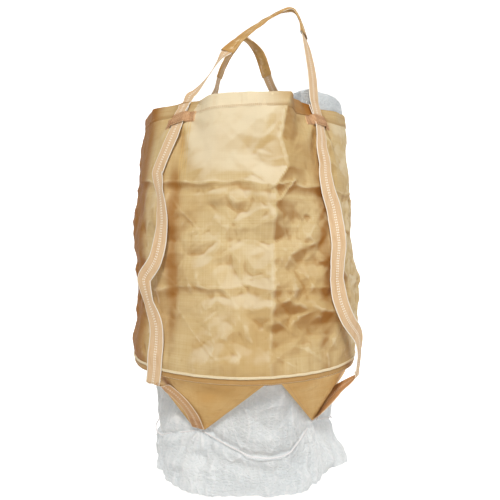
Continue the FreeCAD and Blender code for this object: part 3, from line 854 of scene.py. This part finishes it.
def slope_of(points):
    """More painted shade: darker where cloth leans down or to the bag's right, paler the other way."""
    normal = grid_normal(points)
    outward = level_way(points)
    aside = np.stack([-outward[..., 1], outward[..., 0], 0 * outward[..., 0]], -1)
    down = np.clip(-normal[..., 2], -0.3, 0.5)
    right = np.clip(np.sum(normal * aside, -1), -0.3, 0.5)
    slope = np.clip(1.2 * down + 0.36 * right, -0.4, 0.5)
    azimuth = azimuth_of(points)
    slope = slope * (1 - 0.55 * bell(azimuth + 35.5, 5.0))      # calmer beside the left strap
    return slope * np.where(slope < 0, 0.2 + 0.8 * smooth((azimuth + 55) / 12), 1.0)


# ---------------------------------------------------------------- tube, hem and binding
def azimuths(count):
    return np.arange(count) * 360.0 / count - 180.0


def flat_u(around):
    """Places round the flat cloth, in metres, one more than the azimuths."""
    return np.append(around, 180.0) / 360.0 * FLAT_GIRTH


def make_tube():
    cols, rows = 440, 200
    around = azimuths(cols)
    levels = np.linspace(RIM_Z - 0.001, SEAM_Z + 0.001, rows)
    points = tube_point(around[None, :], levels[:, None])
    u = flat_u(around)
    piece = grid_piece("tube_panel", points, u, RIM_Z - levels, closed=True, material=TUBE_CLOTH)
    gap = nearest_turn(around, ANCHORS) / 360.0 * GIRTH
    add_values(piece, "strap_distance", np.broadcast_to(gap, (rows, cols)))
    add_values(piece, "wear_and_hollow_shade", wear_and_hollow_shade_of(points, scale=0.0009))
    shade = shade_of(around[None, :], (RIM_Z - levels)[:, None]) + slope_of(points)
    add_values(piece, "shade", np.clip(shade, *SHADE_RANGE))
    on_body(piece, "bag", "tube_fabric", "body_tube")


def seam_lines(around, places):
    """Closed rows of stitches round the tube: each place is (height, distance off the cloth)."""
    return [(ring(tube_point(around, z, off)), ring(tube_normal(around, np.maximum(z, SEAM_Z + 0.004))))
            for z, off in places]


def make_hem():
    """The mouth's edge is folded over outwards and sewn down."""
    around = azimuths(440)
    full_turn = around + 180.0
    # height from the rim and distance off the cloth, from the inside over the fold and down
    profile = [(-0.020, -0.0012), (-0.008, -0.0013), (0.0012, -0.0014), (0.0026, -0.0004),
               (0.0030, 0.0006), (0.0018, 0.0017), (-0.006, 0.0019)]
    profile += [(-HEM_HEIGHT * share, 0.0015 + 0.0006 * math.sin(share * 9.0))
                for share in np.linspace(0.25, 0.96, 9)]
    profile += [(-HEM_HEIGHT, 0.0007), (-HEM_HEIGHT - 0.0006, -0.0002)]
    pucker = 0.0006 * wander(full_turn, 0.9, 31)
    ruffle = 0.0012 * wander(full_turn, 3.0, 32)
    wave = 0.0025 * wander(full_turn, 9.0, 33)
    count_on = azimuth_in(around, -90)
    thin = 1 - 0.7 * smooth((count_on + 44) / 5) * smooth((21 - count_on) / 3)      # on the front
    rows = []
    for drop, off in profile:
        off = np.where(off > 0, off * thin, off)
        off = off + (pucker * (off > 0) + ruffle * (drop > -0.01))
        rows.append(tube_point(around, RIM_Z + drop, off))
        rows[-1][:, 2] += max(drop, 0.0) + wave
    v = np.linspace(0, HEM_HEIGHT * 1.6, len(profile))
    piece = grid_piece("mouth_hem", np.stack(rows), flat_u(around), v, closed=True, material=HEM_CLOTH)
    on_body(piece, "bag", "tube_fabric", "top_hem")
    add_values(piece, "shade", 1.3 * shade_of(around[None, :], np.zeros((len(profile), 1))))
    rows = seam_lines(around, [(RIM_Z - 0.046, 0.0026), (RIM_Z - 0.051, 0.0026)])
    on_body(stitches("mouth_hem_stitches", rows, HEM_STITCH, TAN_THREAD), "bag", "thread")


def make_binding():
    """Rolled pale binding that joins the tube, the flaps and the skirt, with two rows of stitches."""
    around = azimuths(520)
    pucker = 1.0 + 0.22 * wander(around + 180.0, 1.6, 41)
    turn = np.arange(12) / 12 * 2 * math.pi
    for name, middle, half, off_middle, depth, cloth in (
            ("seam_roll", 0.0050, 0.0062, 0.0022, 0.0032, BINDING),
            ("seam_tape", -0.0140, 0.0125, -0.0012, 0.0013, TAPE_CLOTH)):
        rows = [tube_point(around, SEAM_Z + (middle + half * math.cos(angle)),
                           off_middle + depth * math.sin(angle) * pucker) for angle in turn]
        piece = grid_piece(name, np.stack(rows), flat_u(around), np.arange(13) * 0.004, closed=True,
                           material=cloth, closed_rows=True)
        on_body(piece, "bag", "seam_binding", "bottom_seam")
    rows = seam_lines(around, [(SEAM_Z + 0.0062, 0.0052), (SEAM_Z - 0.0225, 0.0004)])
    on_body(stitches("seam_stitches", rows, SEAM_STITCH, PALE_THREAD), "bag", "thread")


# ---------------------------------------------------------------- straps
def strap_turn(corner, z):
    """Turn of the strap's face at each height, in radians."""
    heights, turns = zip(*STRAP_TURNS[corner][::-1])
    return np.radians(np.interp(z - SEAM_Z, heights, turns))


def strap_line(corner):
    """Centre line of the loose strap and how far along it each point is."""
    knots = []
    for height, azimuth, off in STRAP_ROUTES[corner]:
        z = SEAM_Z + height
        knots.append(polar(azimuth, tube_radius(azimuth, z) + off, z))
    line, at = through(knots, 150)
    # nowhere nearer than a few millimetres to the cloth under its whole width
    azimuth = azimuth_of(line)
    spread = np.linspace(-4.6, 4.6, 9)
    over = azimuth[:, None] + spread
    z = np.maximum(line[:, 2], SEAM_Z)[:, None]
    reach = np.hypot(line[:, 0], line[:, 1])[:, None] / np.cos(np.radians(spread))
    wanted = np.max(tube_radius(over, z) + tube_relief(over, z) + 0.0055 - reach, axis=1)
    wanted = wanted + 0.030 * np.abs(np.sin(strap_turn(corner, line[:, 2])))
    wanted = np.where(line[:, 2] > SEAM_Z - 0.03, wanted, 0.0)
    # at the band and above it, the strap also follows the cloth inwards
    push = np.where(line[:, 2] > BAND_Z - 0.05, wanted, np.maximum(wanted, 0))
    for _ in range(10):
        push[1:-1] = np.maximum(relaxed(push)[1:-1], np.minimum(push[1:-1], 0.004))
    return line + level_way(line) * push[:, None], at


def strap_frame(line, corner, seed):
    """Directions of the strap's width."""
    along = unit(np.gradient(line, axis=0))
    across = unit(np.cross(along, level_way(line)))
    tilt = strap_turn(corner, line[:, 2])
    tilt = tilt + 0.05 * wander(np.linspace(0, 1.2, len(line)) + seed, 0.11, 60 + seed)
    tilt = tilt * smooth(np.linspace(-0.3, 3, len(line)))
    face = np.cross(across, along)
    return unit(across * np.cos(tilt)[:, None] + face * np.sin(tilt)[:, None])


def make_strap(corner, seed):
    line, at = strap_line(corner)
    across = strap_frame(line, corner, seed)
    piece = ribbon_piece(corner + "_side_strap", line, across, at, WEBBING)
    return on_body(piece, "bag", "webbing", corner + "_strap")


def flap_point(corner, side, share, off=0.0):
    """Point on a flap: side from -1 to 1 along the seam, share from the seam down to the tip."""
    side, share = np.broadcast_arrays(np.asarray(side, float), np.asarray(share, float))
    middle = FLAPS[corner]
    base = polar(middle + side * FLAP_SPAN / 2, SEAM_RADIUS - 0.0015 + off, SEAM_Z)
    sideways = polar(middle + 90.0, 1.0, 0.0) * (side * FLAP_TIP_WIDTH / 2)[..., None]
    tip = polar(middle, FLAP_TIP_RADIUS + off, TIP_Z) + sideways
    return base * (1 - share)[..., None] + tip * share[..., None]


def tail_line(corner):
    """From the strap's fold back to the flap's tip."""
    strap, _ = strap_line(corner)
    fold = strap[-1]
    inward = -level_way(fold)
    lead = unit(strap[-1] - strap[-8])
    first = [fold + inward * 0.0045 - lead * 0.030, fold + inward * 0.0055 - lead * 0.002]
    on_flap = TAIL_ROUTES[corner] + [(0.0, 0.72, 0.008), (0.0, 0.99, 0.006)]
    return through(first + [flap_point(corner, *place) for place in on_flap], 90)


def make_tail(corner):
    """The strap's tail, from its fold to the flap's tip, with the box of stitches that holds it."""
    line, at = tail_line(corner)
    first = strap_frame(strap_line(corner)[0], corner, CORNERS.index(corner))[-1]
    outward = polar(FLAPS[corner], 1.0, 0.0)
    along = unit(np.gradient(line, axis=0))
    down = unit(flap_point(corner, 0.0, 1.0) - flap_point(corner, 0.0, 0.0))
    facing = unit(np.cross(np.cross(down, outward), down))
    flat = unit(np.cross(along, facing))
    flat = flat * np.sign(np.sum(flat * flat[-1], -1, keepdims=True))
    if np.dot(first, flat[len(flat) // 2]) < 0:
        flat = -flat
    share = smooth((np.arange(len(line)) - 14) / 22.0)[:, None]
    across = unit(first * (1 - share) + flat * share)
    swell = np.sin(math.pi * np.linspace(0, 1, len(line)) ** 1.3)[:, None]
    twist = np.radians(TAIL_TWIST[corner]) * swell
    face = np.cross(across, along)
    twist = twist * np.sign(np.cross(face, along)[..., 1:2] * face[..., 1:2])
    across = across * np.cos(twist) + np.cross(along, across) * np.sin(twist)
    piece = ribbon_piece(corner + "_tail", line, across, at, TAIL_WEBBING_SHADED)
    bending(piece, corner + "_flap_body", "webbing", line[0], line[len(line) // 2],
            corner + "_strap_tail")
    # the box of stitches at the tip
    centre = line[-9]
    way, side = along[-9], unit(across[-9])
    up = unit(np.cross(side, way))
    if np.dot(up, outward) < 0:
        up = -up
    rows = []
    for step, run, half, offsets in ((side, way, 0.026, (-0.026, -0.018, 0.018, 0.026)),
                                     (way, side, 0.030, (-0.024, -0.014, 0.014, 0.022))):
        for offset in offsets:
            row = centre + up * 0.0022 + step * offset + run * np.linspace(-half, half, 9)[:, None]
            rows.append((row, np.repeat(up[None], 9, 0)))
    block = stitches(corner + "_tip_stitches", rows, TIP_STITCH, BROWN_THREAD)
    on_body(block, corner + "_flap_body", "thread", corner + "_tip_stitch")


def make_band(corner):
    """Anchor band: sewn to the tube at both ends, over the webbing in the middle."""
    anchor, lean = ANCHORS[corner], BAND_LEAN[corner]
    half = math.degrees(BAND_WIDTH / 2 / tube_radius(anchor, BAND_Z))

    def height_at(across, level):
        return BAND_Z + BAND_HEIGHT / 2 - BAND_HEIGHT * level + lean * across

    def rise_at(across):
        return 0.0018 + 0.0150 * (1 - smooth((np.abs(across) * BAND_WIDTH / 2 - 0.034) / 0.022))

    across = np.linspace(-1, 1, 61)
    down = np.linspace(0, 1, 25)[:, None]
    off = rise_at(across) * (1 - 0.10 * np.abs(down * 2 - 1) ** 6)
    off = off + 0.0006 * np.cos(down * 2 * math.pi * 6)
    points = tube_point(anchor + across[None, :] * half, height_at(across, down), off)
    piece = grid_piece(corner + "_band", points, across * BAND_WIDTH / 2 * 0.35,
                       down.ravel() * BAND_HEIGHT, material=BAND_CLOTH)
    thick = piece.modifiers.new("thickness", "SOLIDIFY")
    thick.thickness = 0.0022
    thick.offset = -1
    on_body(piece, "bag", "anchor_band", corner + "_anchor_band")
    across = np.linspace(-0.97, 0.97, 80)
    rows = []
    for level in (0.07, 0.20, 0.33, 0.46, 0.59, 0.72, 0.85, 0.94):
        place = anchor + across * half, height_at(across, level)
        rows.append((tube_point(*place, rise_at(across) + 0.0012), tube_normal(*place)))
    sewing = stitches(corner + "_band_stitches", rows, BAND_STITCH, BROWN_THREAD)
    on_body(sewing, "bag", "thread")


# ---------------------------------------------------------------- lifting loops
def loop_frame(route, foot_y, hook_y, count):
    """Centre line and width direction of a loop, from its table of stations."""
    knots = [(x, hook_y + (foot_y - hook_y) * z / FOOT_Z, z, turn) for x, z, turn in route]
    rows, _ = through(knots, count)
    line, turn = rows[:, :3], np.radians(rows[:, 3])[:, None]
    along = unit(np.gradient(line, axis=0))
    in_plane = unit(np.cross(np.array([0.0, 1.0, 0.0]), along))
    sideways = np.cross(along, in_plane)
    return line, in_plane * np.cos(turn) + sideways * np.sin(turn)


def make_loop(side, route, sleeve, foot_y, hook_y, feet, seed):
    """One loop: webbing from band to band over the hook, and the cloth sleeve round its top."""
    line, across = loop_frame(route, foot_y, hook_y, 190)
    flat = line[:, [0, 2]]
    ends = [np.linalg.norm(flat - route[knot][:2], axis=1).argmin() for knot in sleeve]
    legs = []
    for corner, end in zip(feet, (0, -1)):
        anchor = ANCHORS[corner]
        heights, offs = BAND_Z + np.array([-0.018, 0.012, 0.040]), np.array([0.0095, 0.0098, 0.0110])
        knots = tube_point(anchor, heights, offs)
        leg, _ = through(list(knots) + [line[end], line[4 if end == 0 else -5]], 30)
        keep = np.linalg.norm(leg - line[end], axis=1).argmin()
        tangent = polar(anchor + 90.0, 1.0, 0.0)
        first = across[end]
        if np.dot(tangent, first) < 0:
            tangent = -tangent
        share = smooth(np.linspace(0, 1, keep))[:, None]
        legs.append((leg[:keep], unit(tangent * (1 - share) + first * share)))
    whole = np.vstack([legs[0][0], line, legs[1][0][::-1]])
    widths = np.vstack([legs[0][1], across, legs[1][1][::-1]])
    run = run_of(whole)
    even = np.linspace(0, run[-1], 260)
    whole, widths = columns_at(even, run, whole), columns_at(even, run, widths)
    for _ in range(3):
        whole, widths = relaxed(whole), relaxed(widths)
    piece = ribbon_piece(side + "_loop_band", whole, widths, even, WEBBING)
    bending(piece, side + "_loop", "webbing", (0, foot_y, RIM_Z - 0.002), (0, foot_y, FOOT_Z + 0.022),
            side + "_loop_webbing")
    make_sleeve(side, line, across, slice(ends[0], ends[1] + 1), seed)


def make_sleeve(side, line, across, part, seed):
    """Cloth tube round the loop's top, creased, and bunched where it sits on the hook."""
    centre, run = through(line[part][::3], 150)
    width = columns_at(np.linspace(0, 1, 150), np.linspace(0, 1, len(across[part])), across[part])
    hook = bell(run - run[centre[:, 2].argmax()], 0.045)
    angle = np.linspace(-0.5 * math.pi, 1.56 * math.pi, 52)      # wraps round and laps over itself
    flat_side = np.sign(np.cos(angle)) * np.abs(np.cos(angle)) ** 0.55
    flat_high = np.sign(np.sin(angle)) * np.abs(np.sin(angle)) ** 0.75
    round_it = angle / (2 * math.pi) * SLEEVE_GIRTH
    creased = Crumple(SLEEVE_GIRTH, float(run[-1]),
                      [(.045, .05, .0030), (.02, .022, .0016), (.009, .010, .0006)], seed=seed)
    bump = creased.at(round_it[None, :], run[:, None])
    bump = bump + 0.0012 * smooth((angle[None, :] - 1.4 * math.pi) / 0.2)
    for middle, deep in ((0.38, .0042), (1.42, .0038)):
        wave = 0.10 * wander(run, 0.06, seed + 9)[:, None]
        bump = bump - deep * np.exp(-np.abs(angle[None, :] / math.pi - middle - wave * 0.4) / 0.035)
    wide = (0.039 - 0.013 * hook)[:, None] * (1 + 0.04 * wander(run, 0.03, seed + 3))[:, None]
    high = (0.0052 + 0.0050 * hook)[:, None]
    along = unit(np.gradient(centre, axis=0))
    width = unit(width - along * np.sum(width * along, -1, keepdims=True))
    face = np.cross(width, along)
    sideways = wide * flat_side + bump * 0.4 * np.cos(angle)
    points = (centre[:, None] + width[:, None] * sideways[..., None]
              + face[:, None] * (high * flat_high + bump * np.sin(angle))[..., None])
    piece = grid_piece(side + "_sleeve", points, round_it, run, material=SLEEVE_CLOTH)
    add_values(piece, "wear_and_hollow_shade", wear_and_hollow_shade_of(points, closed=False, scale=0.0006))
    on_body(piece, side + "_loop", "sleeve_fabric", side + "_loop_sleeve")


# ---------------------------------------------------------------- flaps
def make_flap(corner, seed):
    """One triangular flap, with creases that run from its tip."""
    cols, rows = 90, 64
    side = np.linspace(-1, 1, cols)[None, :]
    share = np.linspace(0.0, 1.0, rows)[:, None] ** 0.94
    creased = Crumple(0.9, 0.34, [(.16, .14, .0065), (.07, .06, .0030), (.03, .028, .0012)], seed=seed)
    plain = flap_point(corner, side, share)
    outward = unit(np.cross(np.gradient(plain, axis=0), np.gradient(plain, axis=1)))
    place = side * (1 - share) * 0.43 + side * share * 0.032
    tied = smooth(share / 0.06)                 # sewn down along the seam
    lift = creased.at(place + 0.45, share * 0.33 + 0 * place) * tied * (0.55 + 0.45 * (1 - share))
    rays = np.sin(side * 9.0 + seed) * 0.0045 * smooth(share / 0.25) * (1.05 - share)
    rays = rays * (1 - np.abs(side) ** 4)
    lift = lift * (1 - 0.6 * np.abs(side) ** 4)
    sag = 0.001 * np.sin(math.pi * share) * np.abs(side) ** 3
    turned_in = smooth((np.abs(side) - 0.93) / 0.05) * 0.0016
    lift = lift + rays * tied - sag * tied + turned_in
    points = plain + outward * lift[..., None]
    middle = flap_point(corner, 0.0, 0.5)
    if np.dot(outward[rows // 2, cols // 2], middle * [1, 1, 0]) < 0:
        points = plain - outward * lift[..., None]
    points = points[:, ::-1]
    piece = grid_piece(corner + "_petal", points, -np.linspace(-0.44, 0.44, cols), share.ravel() * 0.34,
                       material=FLAP_CLOTH_LIT)
    add_values(piece, "wear_and_hollow_shade", wear_and_hollow_shade_of(points, closed=False, scale=0.0010))
    bending(piece, corner + "_flap_body", "flap_fabric", (0, 0, SEAM_Z), (0, 0, SEAM_Z - 0.12),
            corner + "_flap")
    # the cut sides are turned in and sewn
    rows = []
    for index in (2, 86):
        line = points[3:-2, index]
        normal = unit(line * [1, 1, 0.25])
        rows.append((line + normal * 0.0012, normal))
    sewing = stitches(corner + "_petal_stitches", rows, FLAP_STITCH, TAN_THREAD)
    bending(sewing, corner + "_flap_body", "thread", (0, 0, SEAM_Z), (0, 0, SEAM_Z - 0.12))


# ---------------------------------------------------------------- discharge skirt and cord
def skirt_radius(azimuth, z):
    """The skirt lies behind the flaps, bulges out between them and hangs freely below."""
    share = np.clip((SEAM_Z - z) / FLAP_DROP, 0.0, 1.0)
    off = nearest_turn(azimuth, FLAPS)
    half = math.radians(43.0)
    sideways = SEAM_RADIUS * math.sin(half) * (1 - share) + FLAP_TIP_WIDTH / 2 * share
    forward = SEAM_RADIUS * math.cos(half) * (1 - share) + FLAP_TIP_RADIUS * share
    edge = np.degrees(np.arctan2(sideways, forward))
    behind = np.hypot(sideways, forward) - SKIRT_CLEAR
    bulge = SEAM_RADIUS - SKIRT_CLEAR + (SKIRT_BULGE - SEAM_RADIUS + SKIRT_CLEAR) * smooth(share * 1.5)
    above = behind + (bulge - behind) * smooth((off - edge) / (46.0 - edge))
    below = np.clip((TIP_Z - z) / (TIP_Z - HEM_Z), 0.0, 1.0)
    corner = SKIRT_CORNER * below ** 1.5 * bell(turn_between(azimuth, SKIRT_CORNER_AZIMUTH), 9.0)
    return above + (SKIRT_HEM_RADIUS - above) * smooth(below * 1.5) + corner


def cord_drop(azimuth):
    """Height of the closing cord at an azimuth."""
    way = ((azimuth - FLAPS["front_left"]) % 90.0) / 90.0
    shares, sags = zip(*([(0.0, 0.0)] + CORD_SWAG + [(1.0, 0.0)]))
    return CORD_LEVEL - CORD_SAG * np.interp(way, shares, sags)


SKIRT_CRUMPLE = Crumple(SKIRT_GIRTH, 0.62, [(.13, .24, .022), (.065, .14, .0150), (.036, .060, .0032)],
                        seed=23, ridges=[(.11, 2.2, 80, .0110), (.07, 1.8, 62, .0070),
                                         (.06, 1.6, -60, .0050), (.035, 1.8, 86, .0026)])


def skirt_relief(azimuth, z):
    """How far creases lift the skirt; under the flaps it keeps clear of them."""
    u = (azimuth % 360.0) / 360.0 * SKIRT_GIRTH
    v = SEAM_Z - z
    loose = grow(v, 0.01, 0.12)
    lift = SKIRT_CRUMPLE.at(u, v) * (0.35 + 0.65 * loose)
    pleat = wander(u + 0.12 * v, 0.045, 51) * 0.0085 + wander(u - 0.1 * v, 0.016, 52) * 0.0012
    lift = lift + pleat * (0.5 + 0.5 * loose)
    # drawn in under the cord, and pulled into rays at each flap tip
    gap = z - cord_drop(azimuth)
    lift = lift - 0.011 * bell(gap, 0.013) + 0.006 * bell(gap + 0.035, 0.022)
    for middle in FLAPS.values():
        side = metres_from(azimuth, middle, SKIRT_GIRTH)
        far = np.hypot(side, z - CORD_LEVEL)
        way = np.arctan2(side, -(z - CORD_LEVEL) + 0.01)
        lift = lift + 0.008 * np.exp(-far / 0.10) * np.cos(11.0 * way) * smooth(far / 0.03)
    off = nearest_turn(azimuth, FLAPS)
    drop = np.clip((SEAM_Z - z) / FLAP_DROP, 0, 1)
    under = smooth((50 - 34 * drop - off) / 6) * smooth((TIP_Z - 0.02 - z) / -0.04)
    lift = lift * (1 - 0.7 * under) - 0.006 * under
    room = 0.040 - 0.042 * under
    over = np.maximum(lift - room + 0.004, 0)       # it flattens off in the last 4 mm of its room
    return np.where(lift > room - 0.004, room - 0.004 * np.exp(-over / 0.004), lift)


def make_skirt():
    cols, rows = 460, 170
    around = azimuths(cols)
    ragged = 0.010 * wander(around + 180.0, 16.0, 61) + 0.004 * wander(around + 180.0, 3.0, 62)
    ragged += 0.034 * bell(turn_between(around, SKIRT_CORNER_AZIMUTH), 14.0)
    share = np.linspace(0, 1, rows)[:, None]
    raised = 0.024 * smooth((82.0 - turn_between(around, 4.0)) / 26.0)
    bottom = HEM_Z + 0.010 + (ragged * (1 - 16 * raised) + raised)[None, :]
    z = (SEAM_Z + 0.004) * (1 - share) + bottom * share
    azimuth = np.broadcast_to(around, z.shape)
    points = polar(azimuth, skirt_radius(azimuth, z) + skirt_relief(azimuth, z), z)
    # the cloth's top edge lies inside the binding
    tuck = (1 - smooth(share / 0.03))[..., None]
    points = points * (1 - tuck) + polar(azimuth, SEAM_RADIUS - 0.006, z) * tuck
    sway = 0.006 * wander(share, 0.15, 71)
    points[..., 0] += sway * smooth(share * 2)
    u = flat_u(around)
    piece = grid_piece("discharge_cloth", points, u, share.ravel() * 0.6, closed=True,
                       material=WHITE_FILM)
    add_values(piece, "wear_and_hollow_shade", wear_and_hollow_shade_of(points, scale=0.0018))
    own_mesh(piece)
    on_body(piece, "bag", "skirt_fabric", "discharge_skirt")


def make_cord():
    """Three-strand cord through the flap tips, lying in its crease of the skirt."""
    knots = []
    for middle in FLAPS.values():
        for way, sag in CORD_SWAG:
            azimuth = middle + 90.0 * way
            z = CORD_LEVEL - CORD_SAG * sag
            knots.append(polar(azimuth, skirt_radius(azimuth, z) + 0.004, z))
    line, at = through(knots, 900)
    along = unit(np.gradient(line, axis=0))
    outward = level_way(line)
    side = unit(np.cross(along, outward))
    up = np.cross(side, along)
    turn = np.arange(12) / 12 * 2 * math.pi
    lay = at[:, None] / 0.014 * 2 * math.pi
    radius = 0.0034 * (0.86 + 0.16 * np.abs(np.cos(1.5 * (turn[None, :] - lay))))
    points = (line[:, None] + side[:, None] * (radius * np.cos(turn)[None])[..., None]
              + up[:, None] * (radius * np.sin(turn)[None])[..., None])
    piece = grid_piece("drawcord", points, np.arange(13) * 0.0018, at, closed=True, material=CORD_FIBRE,
                       caps=True)
    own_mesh(piece)
    on_body(piece, "bag", "cord", "closing_cord")


# ---------------------------------------------------------------- filling skirt
def lobe_height(azimuth):
    """How far the loose filling skirt stands above the rim."""
    knots = [(-180, .0), (21, .0), (26, .030), (33, .056), (41, .078), (49, .094), (60, .102),
             (67, .094), (75, .082), (83, .070), (90, .056), (98, .038), (108, .016), (118, .0),
             (180, .0)]
    places, heights = zip(*knots)
    at = signed_turn(np.asarray(azimuth, float), 0.0)
    return sum(np.interp(at + step, places, heights) for step in (-6, -4, -2, 0, 2, 4, 6)) / 7


def make_filling_skirt():
    """Sewn inside the mouth; it stands up in one lobe at the right and hangs inside elsewhere."""
    cols, rows = 400, 120
    around = azimuths(cols)
    stand = lobe_height(around)
    for _ in range(4):
        stand = (np.roll(stand, 1) + stand * 2 + np.roll(stand, -1)) / 4
    creased = Crumple(3.0, 0.7, [(.11, .15, .012), (.05, .07, .0075), (.025, .032, .0036),
                                 (.012, .015, .0014)], seed=37)
    share = np.linspace(0, 1, rows)[:, None]
    up = smooth(share / 0.30)
    over = grow(share, 0.26, 0.16)
    hang = np.clip((share - 0.34) / 0.66, 0, 1)
    top = RIM_Z - 0.006 + stand[None, :]
    z = (RIM_Z - 0.052) * (1 - up) + top * up
    z = z - hang * (0.46 - 0.6 * stand[None, :]) - 0.008 * over
    rim = (tube_radius(around, RIM_Z) + tube_relief(around, RIM_Z))[None, :] - 0.010
    lean = stand[None, :] / 0.10
    radius = rim - 0.006 * up - (0.030 - 0.010 * lean) * over - 0.085 * smooth(hang * 1.4)
    radius = radius * (1 - 0.10 * hang)
    u = (around[None, :] + 180.0) / 360.0 * 3.0
    lift = creased.at(u, share * 0.7) * (0.25 + 0.75 * grow(share, 0.05, 0.15))
    lift = lift * np.where(share < 0.34, 0.45 + 0.55 * np.clip(lean, 0, 1), 1.0)
    lift = lift + 0.007 * wander(u, 0.05, 81) * smooth(hang * 3)
    lift = np.minimum(lift, np.where(share < 0.30, 0.006, 0.03))
    points = polar(around[None, :], radius + lift, z + 0.35 * lift * (lean > 0.2))
    piece = grid_piece("filling_cloth", points, flat_u(around), share.ravel() * 0.6, closed=True,
                       material=WHITE_FILM)
    add_values(piece, "wear_and_hollow_shade", wear_and_hollow_shade_of(points, scale=0.0018))
    on_body(piece, "bag", "skirt_fabric", "filling_skirt")


# ---------------------------------------------------------------- stage
def add_light(name, place, target, size, power, colour=(1, 1, 1)):
    data = bpy.data.lights.new(name, "AREA")
    data.size, data.energy, data.color = size, power, colour
    lamp = bpy.data.objects.new(name, data)
    lamp.location = place
    lamp.rotation_euler = (Vector(target) - Vector(place)).to_track_quat("-Z", "Y").to_euler()
    bpy.context.scene.collection.objects.link(lamp)


def make_stage():
    """Pale floor that curves up far behind the bag and grows brighter there, and soft lights."""
    n = Nodes("pale_floor")
    colour = n.tint(srgb(252, 252, 251), srgb(240, 240, 240), n.noise(3.0, 3.0), 0.12)
    material = n.surface(colour, 0.85, n.noise(40.0, 2.0), 0.0005)
    glow = n.tree.nodes["Principled BSDF"]
    glow.inputs["Emission Color"].default_value = (1.0, 1.0, 1.0, 1.0)
    depth = n.add("SeparateXYZ", {0: n.add("NewGeometry").outputs["Position"]}).outputs[1]
    n.tree.links.new(n.times(n.ramp(depth, -0.6, 1.0), 0.62), glow.inputs["Emission Strength"])
    floor_z = HEM_Z - FLOOR_DROP
    rows = [(-11.0, 0.0), (-0.4, 0.0), (5.0, 0.0)]
    for angle in np.linspace(0.15, math.pi / 2, 10):
        rows.append((5.0 + 2.2 * math.sin(angle), 2.2 * (1 - math.cos(angle))))
    rows.append((7.2, 9.0))
    points = np.array([[(x, y, floor_z + z) for x in np.linspace(-11, 11, 5)] for y, z in rows])
    floor = grid_piece("floor", points, np.arange(5), np.arange(len(rows)), material=material)
    world = bpy.data.worlds.new("studio")
    world.use_nodes = True
    sky = world.node_tree.nodes["Background"]
    sky.inputs[0].default_value = (1.0, 1.0, 1.0, 1.0)
    sky.inputs[1].default_value = 0.27
    bpy.context.scene.world = world
    middle = (0, 0, -1.1)
    add_light("key", (-0.4, -5.4, 3.6), middle, 1.2, 350, (1.0, 0.985, 0.95))
    add_light("fill", (3.4, -1.8, -0.2), middle, 2.0, 20, (0.97, 0.985, 1.0))
    add_light("low", (0.3, -2.9, -4.3), (0, 0, -1.8), 1.6, 14)
    add_light("back", (0.8, 3.2, 0.8), middle, 2.6, 44)
    bpy.context.scene.view_settings.view_transform = "Standard"


def make_camera():
    """A level camera, close in front of the bag and below its hooks."""
    data = bpy.data.cameras.new("camera")
    data.sensor_width = data.lens = 36.0
    camera = bpy.data.objects.new("camera", data)
    camera.location = (0.0, -2.55, -1.08)
    camera.rotation_euler = (math.pi / 2, 0.0, 0.0)       # level, facing the back
    data.shift_x, data.shift_y = 0.010, -0.026
    bpy.context.scene.collection.objects.link(camera)
    bpy.context.scene.camera = camera


# ---------------------------------------------------------------- everything
make_camera()
make_stage()
make_tube()
make_hem()
make_binding()
for index, corner in enumerate(CORNERS):
    make_strap(corner, index)
    make_band(corner)
    make_flap(corner, 90 + index)
    make_tail(corner)
make_loop("front", FRONT_LOOP, FRONT_SLEEVE, FRONT_FOOT_Y, -HOOK_OFFSET,
          ("front_left", "front_right"), 101)
make_loop("rear", REAR_LOOP, REAR_SLEEVE, REAR_FOOT_Y, HOOK_OFFSET,
          ("rear_left", "rear_right"), 102)
make_skirt()
make_cord()
make_filling_skirt()
